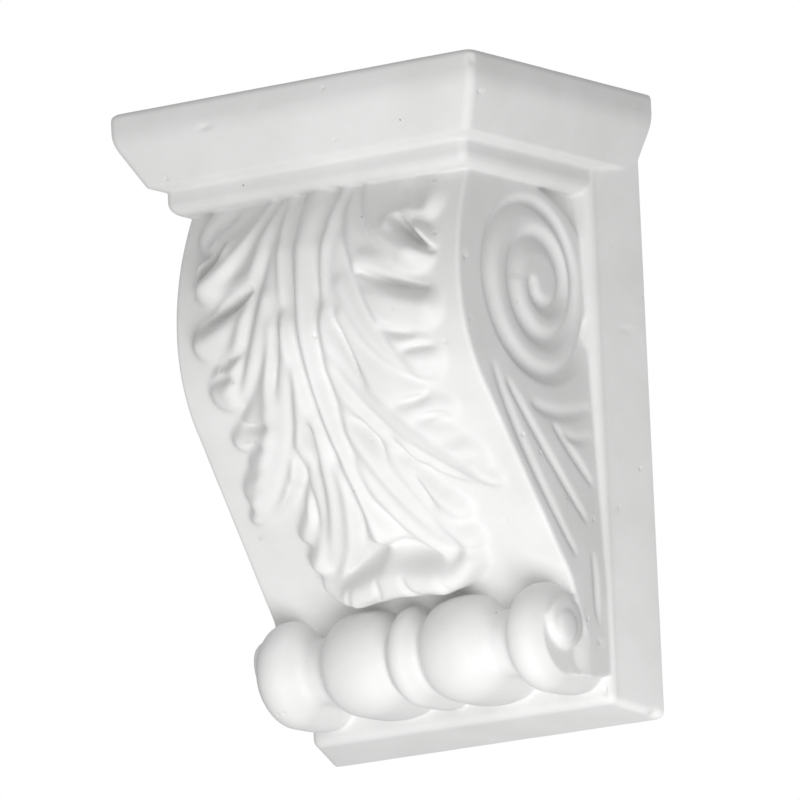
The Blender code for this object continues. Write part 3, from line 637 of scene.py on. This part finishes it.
def moulding_tree():
    """Carries a profile, given as points (inset, 0, drop), round a cap with mitred corners."""
    tree, given = new_shape_tree("moulding", {
        "Width": "NodeSocketFloat", "Depth": "NodeSocketFloat", "Top": "NodeSocketFloat",
        "Behind": "NodeSocketFloat", "Material": "NodeSocketMaterial",
    })
    size = add_node(tree, "GeometryNodeAttributeDomainSize", {"Geometry": given["Geometry"]})
    steps = work_out(tree, "SUBTRACT", size.outputs["Point Count"], 1.0)
    block = add_node(
        tree, "GeometryNodeMeshCylinder", {"Vertices": 4, "Side Segments": steps}, fill_type="NGON"
    )
    index = add_node(tree, "GeometryNodeInputIndex").outputs[0]
    row = work_out(tree, "FLOOR", work_out(tree, "DIVIDE", index, 4.0))
    corner = work_out(tree, "MODULO", index, 4.0)
    place = add_node(tree, "GeometryNodeInputPosition").outputs[0]
    profile = add_node(tree, "GeometryNodeSampleIndex", data_type="FLOAT_VECTOR")
    tree.links.new(given["Geometry"], profile.inputs["Geometry"])
    tree.links.new(place, profile.inputs["Value"])
    tree.links.new(row, profile.inputs["Index"])
    split = add_node(tree, "ShaderNodeSeparateXYZ", {"Vector": profile.outputs["Value"]})
    inset, drop = split.outputs["X"], split.outputs["Z"]
    half = work_out(tree, "SUBTRACT", work_out(tree, "MULTIPLY", given["Width"], 0.5), inset)
    from_middle = work_out(tree, "ABSOLUTE", work_out(tree, "SUBTRACT", corner, 1.5))
    left = work_out(tree, "LESS_THAN", from_middle, 1.0)
    side = work_out(tree, "SUBTRACT", 1.0, work_out(tree, "MULTIPLY", left, 2.0))
    front = work_out(tree, "SUBTRACT", inset, given["Depth"])
    in_front = work_out(tree, "GREATER_THAN", corner, 1.5)
    forward = work_out(tree, "SUBTRACT", front, given["Behind"])
    across = add_node(tree, "ShaderNodeCombineXYZ", {
        "X": work_out(tree, "MULTIPLY", half, side),
        "Y": work_out(tree, "MULTIPLY_ADD", forward, in_front, given["Behind"]),
        "Z": work_out(tree, "SUBTRACT", given["Top"], drop),
    })
    shaped = add_node(tree, "GeometryNodeSetPosition", {
        "Geometry": block.outputs["Mesh"], "Position": across.outputs[0],
    })
    end_shape_tree(tree, given, shaped.outputs["Geometry"])
    return tree


def casting_tree():
    """Gives a cast surface its slow waves and its scattered pinholes."""
    tree, given = new_shape_tree("cast_surface", {
        "Wave Length": "NodeSocketFloat", "Wave Height": "NodeSocketFloat",
        "Pinhole Density": "NodeSocketFloat", "Pinhole Radius": "NodeSocketFloat",
        "Pinhole Depth": "NodeSocketFloat", "Seed": "NodeSocketInt",
        "Material": "NodeSocketMaterial",
    })
    normal = add_node(tree, "GeometryNodeInputNormal").outputs[0]
    waves = add_node(tree, "ShaderNodeTexNoise", {
        "Vector": add_node(tree, "GeometryNodeInputPosition").outputs[0],
        "Scale": work_out(tree, "DIVIDE", 1.0, given["Wave Length"]), "Detail": WAVE_DETAIL,
    })
    swell = work_out(tree, "SUBTRACT", waves.outputs[0], 0.5)
    waved = add_node(tree, "GeometryNodeSetPosition", {
        "Geometry": given["Geometry"],
        "Offset": add_node(tree, "ShaderNodeVectorMath", {
            0: normal, "Scale": work_out(tree, "MULTIPLY", swell, given["Wave Height"]),
        }, operation="SCALE").outputs[0],
    }).outputs["Geometry"]
    holes = add_node(tree, "GeometryNodeDistributePointsOnFaces", {
        "Mesh": waved, "Density": given["Pinhole Density"], "Seed": given["Seed"],
    }).outputs["Points"]
    nearest = add_node(tree, "GeometryNodeSampleNearest", {"Geometry": holes})
    grade = add_node(tree, "FunctionNodeRandomValue", {
        2: SMALLEST_PINHOLE_SHARE, 3: 1.0, "ID": nearest.outputs["Index"], "Seed": given["Seed"],
    }, data_type="FLOAT").outputs[1]
    away = add_node(
        tree, "GeometryNodeProximity", {0: holes}, target_element="POINTS"
    ).outputs["Distance"]
    sunk = add_node(tree, "ShaderNodeMapRange", {
        "Value": away, 1: 0.0, 2: work_out(tree, "MULTIPLY", given["Pinhole Radius"], grade),
        3: work_out(tree, "MULTIPLY", given["Pinhole Depth"], grade), 4: 0.0,
    }, interpolation_type="SMOOTHSTEP").outputs[0]
    pitted = add_node(tree, "GeometryNodeSetPosition", {
        "Geometry": waved,
        "Offset": add_node(tree, "ShaderNodeVectorMath", {
            0: normal, "Scale": work_out(tree, "MULTIPLY", sunk, -1.0),
        }, operation="SCALE").outputs[0],
    })
    end_shape_tree(tree, given, pitted.outputs["Geometry"])
    return tree


def blank_of(mesh):
    """An object in the scene that carries a mesh while modifiers work on it."""
    blank = bpy.data.objects.new("blank", mesh)
    bpy.context.scene.collection.objects.link(blank)
    return blank


def worked(blank):
    """The mesh that a blank's modifiers make of it. The blank is then gone."""
    graph = bpy.context.evaluated_depsgraph_get()
    result = bpy.data.meshes.new_from_object(blank.evaluated_get(graph))
    bpy.data.objects.remove(blank)
    return result


def shaped_by(tree, mesh, sizes):
    """A mesh after a tree of geometry nodes, with the tree's named inputs set."""
    blank = blank_of(mesh)
    modifier = blank.modifiers.new(tree.name, "NODES")
    modifier.node_group = tree
    for socket in tree.interface.items_tree:
        if socket.in_out == "INPUT" and socket.name in sizes:
            modifier[socket.identifier] = sizes[socket.name]
    return worked(blank)


def finished(mesh, modifiers):
    """A mesh after some modifiers, each given as its kind and its settings."""
    blank = blank_of(mesh)
    for kind, settings in modifiers:
        modifier = blank.modifiers.new(kind.lower(), kind)
        for name, value in settings.items():
            setattr(modifier, name, value)
    return worked(blank)


def make_cap(coat):
    """The moulded cap, mitred at its front corners."""
    profile = bpy.data.meshes.new("cap_profile")
    profile.from_pydata([(inset, 0.0, drop) for inset, drop in cap_profile()], [], [])
    return shaped_by(moulding_tree(), profile, {
        "Width": CAP_WIDTH, "Depth": CAP_DEPTH, "Top": HIGH.z, "Behind": SINK, "Material": coat,
    })


def plate_outline(half_width, bottom, y, shrink):
    """A rounded outline of the back plate, taken in all round by shrink."""
    x = half_width - shrink
    low = bottom + shrink
    high = HIGH.z - SINK - shrink
    radius = PLATE_CORNER_RADIUS
    outline = []
    corners = ((x, high, 0.0), (-x, high, 1.0), (-x, low, 2.0), (x, low, 3.0))
    for corner_x, corner_z, quarter in corners:
        centre_x = corner_x - math.copysign(radius, corner_x)
        centre_z = corner_z - (radius if quarter < 2 else -radius)
        for step in range(CORNER_STEPS + 1):
            angle = math.pi / 2 * (quarter + step / CORNER_STEPS)
            outline.append((
                centre_x + radius * math.cos(angle), y, centre_z + radius * math.sin(angle)
            ))
    return outline


def make_plate():
    """The back plate, whose edges draw in towards its front."""
    rings = [
        plate_outline(PLATE_WIDTH / 2, LOW.z, 2 * SINK, 0.0),
        plate_outline(PLATE_WIDTH / 2, LOW.z, 0.0, 0.0),
    ]
    for step in range(CORNER_STEPS + 1):
        angle = math.pi / 2 * step / CORNER_STEPS
        rings.append(plate_outline(
            PLATE_WIDTH / 2 - PLATE_SIDE_DRAFT,
            LOW.z + PLATE_BOTTOM_DRAFT,
            -PLATE_THICKNESS + PLATE_EDGE_RADIUS * (1.0 - math.sin(angle)),
            PLATE_EDGE_RADIUS * (1.0 - math.cos(angle)),
        ))
    return loft(rings)


def face_length():
    """Length of the console's front, measured down its curve to the roll."""
    rise = math.asin(BULGE_BELOW_CAP / BULGE_UPPER_RADIUS)
    return BULGE_UPPER_RADIUS * rise + BULGE_LOWER_RADIUS * FALL_ANGLE + FALL_LENGTH


def face_place(down):
    """Place (y, z) and normal (y, z) of the console's front, a length down its curve."""
    rise = math.asin(BULGE_BELOW_CAP / BULGE_UPPER_RADIUS)
    bulge = cap_underside() - BULGE_BELOW_CAP
    past = down - BULGE_UPPER_RADIUS * rise
    upper = np.maximum(-past, 0.0) / BULGE_UPPER_RADIUS
    lower = np.clip(past / BULGE_LOWER_RADIUS, 0.0, FALL_ANGLE)
    fall = np.maximum(past - BULGE_LOWER_RADIUS * FALL_ANGLE, 0.0)
    y = -BULGE_REACH + BULGE_UPPER_RADIUS * (1 - np.cos(upper))
    y = y + BULGE_LOWER_RADIUS * (1 - np.cos(lower)) + fall * math.sin(FALL_ANGLE)
    z = bulge + BULGE_UPPER_RADIUS * np.sin(upper)
    z = z - BULGE_LOWER_RADIUS * np.sin(lower) - fall * math.cos(FALL_ANGLE)
    tilt = upper - lower
    return y, z, -np.cos(tilt), np.sin(tilt)


def console_half_width(z):
    """Half the console's width at a height: it widens evenly from head to foot."""
    foot = face_place(np.array(face_length()))[1]
    share = np.clip((cap_underside() - z) / (cap_underside() - foot), None, 1.0)
    return (CONSOLE_HEAD_WIDTH + (CONSOLE_FOOT_WIDTH - CONSOLE_HEAD_WIDTH) * share) / 2


def console_side(y, z, side):
    """Points of one side of the console, pushed in by its carving."""
    depth = side_depth(-y / BULGE_REACH, (z - LOW.z) / HEIGHT)
    return np.stack([side * (console_half_width(z) - depth), y, z], axis=-1)


def edge_drop(inset):
    """How far the front falls away at a distance in from its side, as a quarter round."""
    reach = np.clip(1.0 - inset / CONSOLE_EDGE_RADIUS, 0.0, 1.0)
    return CONSOLE_EDGE_RADIUS * (1.0 - np.sqrt(1.0 - reach ** 2))


def make_console():
    """The console, row by row down its front: back edge, side, face, side, back edge."""
    down = np.linspace(-SINK, face_length(), CONSOLE_ROWS)
    y, z, normal_y, normal_z = face_place(down)
    heel_share = np.linspace(0.0, 1.0, HEEL_ROWS + 1)[1:]
    heel_z = LOW.z + HEEL_HEIGHT
    y = np.append(y, y[-1] + (-HEEL_REACH - y[-1]) * heel_share)
    z = np.append(z, z[-1] + (heel_z - z[-1]) * heel_share)
    normal_y = np.append(normal_y, np.full(HEEL_ROWS, -1.0))
    normal_z = np.append(normal_z, np.zeros(HEEL_ROWS))
    share_down = np.append(down / face_length(), np.full(HEEL_ROWS, PAST_FACE))

    across = np.linspace(-1.0, 1.0, 2 * HALF_FACE_COLUMNS)[None, :]
    right_half = across[:, HALF_FACE_COLUMNS:]
    height = leaf_height(right_half + 0 * y[:, None], share_down[:, None] + 0 * right_half)
    height[0] = 0.0
    height = np.concatenate([height[:, ::-1], height], axis=1)
    height = height - edge_drop((1.0 - np.abs(across)) * console_half_width(z)[:, None])
    face = np.stack([
        across * console_half_width(z)[:, None],
        y[:, None] + normal_y[:, None] * height,
        z[:, None] + normal_z[:, None] * height,
    ], axis=-1)

    back = -PLATE_THICKNESS + 2 * SINK
    edge_y = (y - normal_y * CONSOLE_EDGE_RADIUS)[:, None]
    edge_z = (z - normal_z * CONSOLE_EDGE_RADIUS)[:, None]
    back_z = np.linspace(z[0], z[-1], len(z))[:, None]
    share = np.linspace(0.0, 1.0, SIDE_COLUMNS + 1)[None, 1:]
    side_y = edge_y + (back - edge_y) * share
    side_z = edge_z + (back_z - edge_z) * share
    right = console_side(side_y, side_z, 1.0)
    left = console_side(side_y, side_z, -1.0)[:, ::-1]
    return loft(np.concatenate([left, face, right], axis=1))


def turned_radius(x):
    """Radius of the roll as turned: a ring, two bulbs and two end bulbs."""
    total = 0.0
    for place, full, half_width in (
        (0.0, RING_RADIUS, RING_HALF_WIDTH),
        (BULB_PLACE, BULB_RADIUS, BULB_HALF_WIDTH),
        (END_BULB_PLACE, END_BULB_RADIUS, END_BULB_HALF_WIDTH),
    ):
        off = (abs(x) - place) / half_width
        bulb = (full - ROLL_NECK_RADIUS) * math.sqrt(max(1.0 - off * off, 0.0))
        total += bulb ** ROLL_BLEND
    return ROLL_NECK_RADIUS + total ** (1.0 / ROLL_BLEND)


def roll_radius(x):
    """Radius of the roll at a place along it, with its valleys softened."""
    middle = len(ROLL_SOFTENING) // 2
    return sum(
        share * turned_radius(x + (step - middle) * ROLL_SOFTNESS)
        for step, share in enumerate(ROLL_SOFTENING)
    )


def roll_ring(x, radius, back_reach, shrink=1.0, at_end=False):
    """A ring of the roll: round in front, and run back into the plate behind."""
    ring = []
    for spoke in range(ROLL_SPOKES):
        angle = 2 * math.pi * spoke / ROLL_SPOKES
        out, up = -math.cos(angle), math.sin(angle)
        if out < 0:
            out_by = -back_reach * math.sqrt(-out)
            up_by = radius * math.copysign(math.sqrt(abs(up)), up)
        else:
            out_by = radius * out
            up_by = radius * up
        out_by, up_by = out_by * shrink, up_by * shrink
        relief = end_relief(out_by / MM, up_by / MM, shrink) * MM if at_end else 0.0
        ring.append((
            x + math.copysign(relief, x),
            -ROLL_REACH - out_by,
            LOW.z + ROLL_HEIGHT + up_by,
        ))
    return ring


def end_relief(out, up, shrink):
    """Height of the scroll on the roll's end, at a place from its axis and a share of its rim."""
    radius = math.hypot(out - EYE_PLACE[0], up - EYE_PLACE[1])
    angle = math.atan2(up - EYE_PLACE[1], EYE_PLACE[0] - out)
    edge = BOSS_RADIUS + BOSS_LEAN * math.cos(angle - BOSS_LEAN_ANGLE)
    share = min(max((radius - EYE_RADIUS) / (edge - EYE_RADIUS), 0.0), 1.0)
    boss = BOSS_HEIGHT * math.sqrt(1.0 - share * share)
    eye = EYE_HEIGHT * math.sqrt(max(1.0 - (radius / EYE_RADIUS) ** 2, 0.0))
    rim = float(smooth_step((shrink - RIM_SHARE) / (1.0 - RIM_SHARE)))
    behind = float(smooth_step((FLUSH_FROM - out) / (FLUSH_FROM - FLUSH_TO)))
    floor = FLUSH_RISE * behind - HOLLOW_DEPTH * (1.0 - rim) * (1.0 - behind)
    groove = BACK_GROOVE_DEPTH * math.exp(-((out - BACK_GROOVE) / BACK_GROOVE_WIDTH) ** 2)
    floor -= groove * float(smooth_step(up / BACK_GROOVE_FADE))
    return max(floor, boss + eye)


def make_roll():
    """The roll across the foot, with a small scroll on each end."""
    back_reach = ROLL_REACH - PLATE_THICKNESS + 2 * SINK
    end_radius = roll_radius(ROLL_HALF_LENGTH)
    rings = []
    for x in np.linspace(-ROLL_HALF_LENGTH, ROLL_HALF_LENGTH, ROLL_COLUMNS):
        rings.append(roll_ring(x, roll_radius(x), back_reach))
    for step in range(END_RINGS + 1):
        shrink = 1.0 - step / (END_RINGS + 1)
        rings.insert(0, roll_ring(-ROLL_HALF_LENGTH, end_radius, back_reach, shrink, True))
        rings.append(roll_ring(ROLL_HALF_LENGTH, end_radius, back_reach, shrink, True))
    return loft(rings)


def fuse(meshes):
    """One mesh that holds several masses, still overlapping."""
    bm = bmesh.new()
    for mesh in meshes:
        bm.from_mesh(mesh)
    bmesh.ops.recalc_face_normals(bm, faces=bm.faces)
    whole = bpy.data.meshes.new("masses")
    bm.to_mesh(whole)
    bm.free()
    return whole


def rows_of(collection, name):
    """The vectors that a mesh's collection holds under a name, as rows."""
    values = np.empty(len(collection) * 3)
    collection.foreach_get(name, values)
    return values.reshape(-1, 3)


def moved(mesh, places):
    """A mesh with its vertices moved to their new places."""
    mesh.vertices.foreach_set("co", places.ravel())
    mesh.update()
    return mesh


def round_cap_corners(mesh):
    """Round the cap's front corners on a finely divided mesh, all down its moulding."""
    places = rows_of(mesh.vertices, "co")
    insets, drops = np.array(cap_profile()).T
    inset = np.interp(HIGH.z - places[:, 2], drops, insets)
    side = np.sign(places[:, 0])
    across = np.abs(places[:, 0]) - (CAP_WIDTH / 2 - inset - CAP_CORNER_RADIUS)
    forward = -places[:, 1] - (CAP_DEPTH - inset - CAP_CORNER_RADIUS)
    away = np.hypot(across, forward)
    outside = (across > 0) & (forward > 0) & (away > CAP_CORNER_RADIUS)
    outside &= places[:, 2] > cap_underside()
    excess = np.where(outside, 1.0 - CAP_CORNER_RADIUS / np.maximum(away, 1e-9), 0.0)
    places[:, 0] -= side * across * excess
    places[:, 1] += forward * excess
    return moved(mesh, places)


def mark(mesh):
    """Press the marks into a mesh, along its own normals, and keep it in the CAD's box."""
    places = rows_of(mesh.vertices, "co")
    normals = rows_of(mesh.vertex_normals, "vector")
    depth = np.zeros(len(places))
    for place, reach, deepest in MARKS.values():
        off = (((places - place) / reach) ** 2).sum(axis=1)
        depth = np.maximum(depth, deepest * np.exp(-off))
    places = places - normals * depth[:, None]
    return moved(mesh, np.clip(places, LOW, (HIGH.x, SINK, HIGH.z)))


def cut_at_wall(mesh):
    """Cut the casting's back off flat at the wall, and close it."""
    bm = bmesh.new()
    bm.from_mesh(mesh)
    everything = bm.verts[:] + bm.edges[:] + bm.faces[:]
    cut = bmesh.ops.bisect_plane(
        bm, geom=everything, dist=1e-6, plane_co=(0, 0, 0), plane_no=(0, 1, 0), clear_outer=True
    )
    rim = [item for item in cut["geom_cut"] if isinstance(item, bmesh.types.BMEdge)]
    back = bmesh.ops.holes_fill(bm, edges=rim, sides=0)["faces"]
    bmesh.ops.triangulate(bm, faces=back)
    bm.to_mesh(mesh)
    bm.free()
    return mesh


def make_corbel(coat):
    """The whole casting: its masses fused, softened and cut flat at the wall."""
    masses = fuse([make_cap(coat), make_plate(), make_console(), make_roll()])
    cast = finished(masses, [
        ("REMESH", {"mode": "VOXEL", "voxel_size": CAST_GRAIN, "adaptivity": 0.0}),
    ])
    cast = finished(round_cap_corners(cast), [
        ("SMOOTH", {"factor": CAST_SMOOTHING_STRENGTH, "iterations": CAST_SMOOTHING}),
    ])
    cast = shaped_by(casting_tree(), cast, {
        "Wave Length": WAVE_LENGTH, "Wave Height": WAVE_HEIGHT,
        "Pinhole Density": PINHOLE_DENSITY, "Pinhole Radius": PINHOLE_RADIUS,
        "Pinhole Depth": PINHOLE_DEPTH, "Seed": PINHOLE_SEED, "Material": coat,
    })
    cast = cut_at_wall(mark(cast))
    cast.calc_loop_triangles()
    ratio = min(1.0, CAST_TRIANGLES / len(cast.loop_triangles))
    cast = finished(cast, [("DECIMATE", {"ratio": ratio})])
    cast.name = "corbel_casting"
    cast.materials.clear()
    cast.materials.append(coat)
    for face in cast.polygons:
        face.material_index = 0
    cast.shade_smooth()
    cast.set_sharp_from_angle(angle=CRISP_EDGE_ANGLE)
    corbel = bpy.data.objects.new("corbel_casting", cast)
    bpy.context.scene.collection.objects.link(corbel)
    return corbel


def casting_look():
    """A group that gives plaster's tone with specks of painted pinhole shade, its roughness and its
    grain at a place on the casting.
    """
    group = bpy.data.node_groups.new("casting_look", "ShaderNodeTree")
    group.interface.new_socket("Place", in_out="INPUT", socket_type="NodeSocketVector")
    group.interface.new_socket("Tone", in_out="OUTPUT", socket_type="NodeSocketColor")
    group.interface.new_socket("Roughness", in_out="OUTPUT", socket_type="NodeSocketFloat")
    group.interface.new_socket("Grain", in_out="OUTPUT", socket_type="NodeSocketVector")
    place = group.nodes.new("NodeGroupInput").outputs["Place"]
    clouds = add_node(group, "ShaderNodeTexNoise", {
        "Vector": place, "Scale": CLOUDS_PER_METRE,
        "Detail": CLOUD_DETAIL, "Roughness": CLOUD_BREAKUP,
    }).outputs[0]
    lightness = add_node(group, "ShaderNodeMapRange", {
        "Value": clouds, 1: TONE_CLOUDS[0], 2: TONE_CLOUDS[1],
    })
    cloudy = add_node(group, "ShaderNodeMix", {
        0: lightness.outputs[0], 6: DARK_TONE, 7: LIGHT_TONE,
    }, data_type="RGBA")
    # Specks of painted shade: small dark spots where fine pinholes would hold shadow
    cells = add_node(group, "ShaderNodeTexVoronoi", {"Vector": place, "Scale": PAINTED_PINHOLES_PER_METRE})
    pinhole_shade_mask = add_node(group, "ShaderNodeMapRange", {
        "Value": cells.outputs["Distance"], 1: PAINTED_PINHOLE_SHARE, 2: PAINTED_PINHOLE_FADE * PAINTED_PINHOLE_SHARE,
        3: 1.0, 4: 0.0,
    })
    chosen = add_node(group, "ShaderNodeSeparateColor", {0: cells.outputs["Color"]}).outputs[0]
    few = work_out(group, "GREATER_THAN", chosen, PAINTED_PINHOLES_LEFT_OUT)
    tone_with_pinhole_shade = add_node(group, "ShaderNodeMix", {
        0: work_out(group, "MULTIPLY", pinhole_shade_mask.outputs[0], few), 6: cloudy.outputs[2], 7: PAINTED_PINHOLE_SHADE_TONE,
    }, data_type="RGBA")
    chalk = add_node(group, "ShaderNodeMapRange", {
        "Value": clouds, 1: ROUGHNESS_CLOUDS[0], 2: ROUGHNESS_CLOUDS[1],
        3: CHALKY_ROUGHNESS, 4: SMOOTH_ROUGHNESS,
    })
    grain = add_node(group, "ShaderNodeTexNoise", {
        "Vector": place, "Scale": GRAIN_PER_METRE,
        "Detail": GRAIN_DETAIL, "Roughness": GRAIN_BREAKUP,
    })
    bump = add_node(group, "ShaderNodeBump", {
        "Height": grain.outputs[0], "Strength": GRAIN_STRENGTH, "Distance": GRAIN_DEPTH,
    })
    add_node(group, "NodeGroupOutput", {
        "Tone": tone_with_pinhole_shade.outputs[2], "Roughness": chalk.outputs[0], "Grain": bump.outputs[0],
    })
    return group


def make_plaster():
    """White cast plaster, a little cloudy, finely grained, and with specks of painted shade for its
    finest pinholes.
    """
    material = bpy.data.materials.new("plaster")
    material.use_nodes = True
    tree = material.node_tree
    shader = tree.nodes["Principled BSDF"]
    shader.inputs["Metallic"].default_value = 0.0
    shader.inputs["Specular IOR Level"].default_value = PLASTER_SHINE
    place = add_node(tree, "ShaderNodeTexCoord").outputs["Object"]
    look = add_node(tree, "ShaderNodeGroup", node_tree=casting_look())
    tree.links.new(place, look.inputs["Place"])
    tree.links.new(look.outputs["Tone"], shader.inputs["Base Color"])
    tree.links.new(look.outputs["Roughness"], shader.inputs["Roughness"])
    tree.links.new(look.outputs["Grain"], shader.inputs["Normal"])
    return material


def make_camera():
    """A camera with the photograph's viewing angle and framing."""
    cos_a, sin_a = math.cos(VIEW_AZIMUTH), math.sin(VIEW_AZIMUTH)
    cos_e, sin_e = math.cos(VIEW_ELEVATION), math.sin(VIEW_ELEVATION)
    back = Vector((sin_a * cos_e, -cos_a * cos_e, sin_e))
    level = Vector((cos_a, sin_a, 0.0))
    upright = back.cross(level)
    right = level * math.cos(VIEW_ROLL) + upright * math.sin(VIEW_ROLL)
    up = upright * math.cos(VIEW_ROLL) - level * math.sin(VIEW_ROLL)
    middle = PICTURE_PIXELS / 2
    ray = right * (TARGET_PIXEL[0] - middle) / VIEW_FOCAL_PIXELS
    ray -= up * (TARGET_PIXEL[1] - middle) / VIEW_FOCAL_PIXELS
    ray -= back
    data = bpy.data.cameras.new("camera")
    data.sensor_width = SENSOR_MM
    data.lens = VIEW_FOCAL_PIXELS / PICTURE_PIXELS * SENSOR_MM
    camera = bpy.data.objects.new("camera", data)
    turn = Matrix((right, up, back)).transposed().to_4x4()
    camera.matrix_world = Matrix.Translation(VIEW_TARGET - ray * VIEW_DEPTH) @ turn
    bpy.context.scene.collection.objects.link(camera)
    bpy.context.scene.camera = camera


def toward(direction, distance):
    """A place at a distance from the casting's middle."""
    return VIEW_TARGET + Vector(direction).normalized() * distance


def make_light(name, direction, distance, size, power):
    """A soft square light that looks at the casting."""
    data = bpy.data.lights.new(name, "AREA")
    data.size = size
    data.energy = power
    light = bpy.data.objects.new(name, data)
    light.location = toward(direction, distance)
    light.rotation_euler = Vector(direction).to_track_quat("Z", "Y").to_euler()
    bpy.context.scene.collection.objects.link(light)


def make_card(name, place, normal, size):
    """A flat square that faces along its normal."""
    half = size / 2
    turn = normal.to_track_quat("Z", "Y").to_matrix()
    corners = [(-half, -half, 0), (half, -half, 0), (half, half, 0), (-half, half, 0)]
    mesh = bpy.data.meshes.new(name)
    mesh.from_pydata([place + turn @ Vector(corner) for corner in corners], [], [(0, 1, 2, 3)])
    card = bpy.data.objects.new(name, mesh)
    bpy.context.scene.collection.objects.link(card)
    return card


def make_stage():
    """A pale floor well below the casting, a lit white backdrop and a grey surround."""
    floor = make_card("floor", Vector((0.0, 0.0, FLOOR_HEIGHT)), Vector((0, 0, 1)), FLOOR_SIZE)
    material = bpy.data.materials.new("pale_floor")
    material.use_nodes = True
    shader = material.node_tree.nodes["Principled BSDF"]
    shader.inputs["Base Color"].default_value = FLOOR_TONE
    shader.inputs["Roughness"].default_value = FLOOR_ROUGHNESS
    floor.data.materials.append(material)

    camera = bpy.context.scene.camera
    ahead = -(camera.matrix_world.to_3x3() @ Vector((0, 0, 1)))
    place = VIEW_TARGET + ahead * BACKDROP_DISTANCE
    backdrop = make_card("backdrop", place, -ahead, BACKDROP_SIZE)
    glow = bpy.data.materials.new("lit_backdrop")
    glow.use_nodes = True
    shader = glow.node_tree.nodes["Principled BSDF"]
    shader.inputs["Base Color"].default_value = (0.0, 0.0, 0.0, 1.0)
    shader.inputs["Specular IOR Level"].default_value = 0.0
    shader.inputs["Emission Color"].default_value = (1.0, 1.0, 1.0, 1.0)
    shader.inputs["Emission Strength"].default_value = 1.0
    backdrop.data.materials.append(glow)

    world = bpy.data.worlds.new("surround")
    world.use_nodes = True
    world.node_tree.nodes["Background"].inputs["Color"].default_value = (1.0, 1.0, 1.0, 1.0)
    world.node_tree.nodes["Background"].inputs["Strength"].default_value = SURROUND_LIGHT
    bpy.context.scene.world = world


make_camera()
corbel = make_corbel(make_plaster())
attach(corbel, "root")
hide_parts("corbel")
bpy.context.view_layer.update()
make_stage()
for light in LIGHTS:
    make_light(*light)
bpy.context.scene.view_settings.view_transform = "Standard"
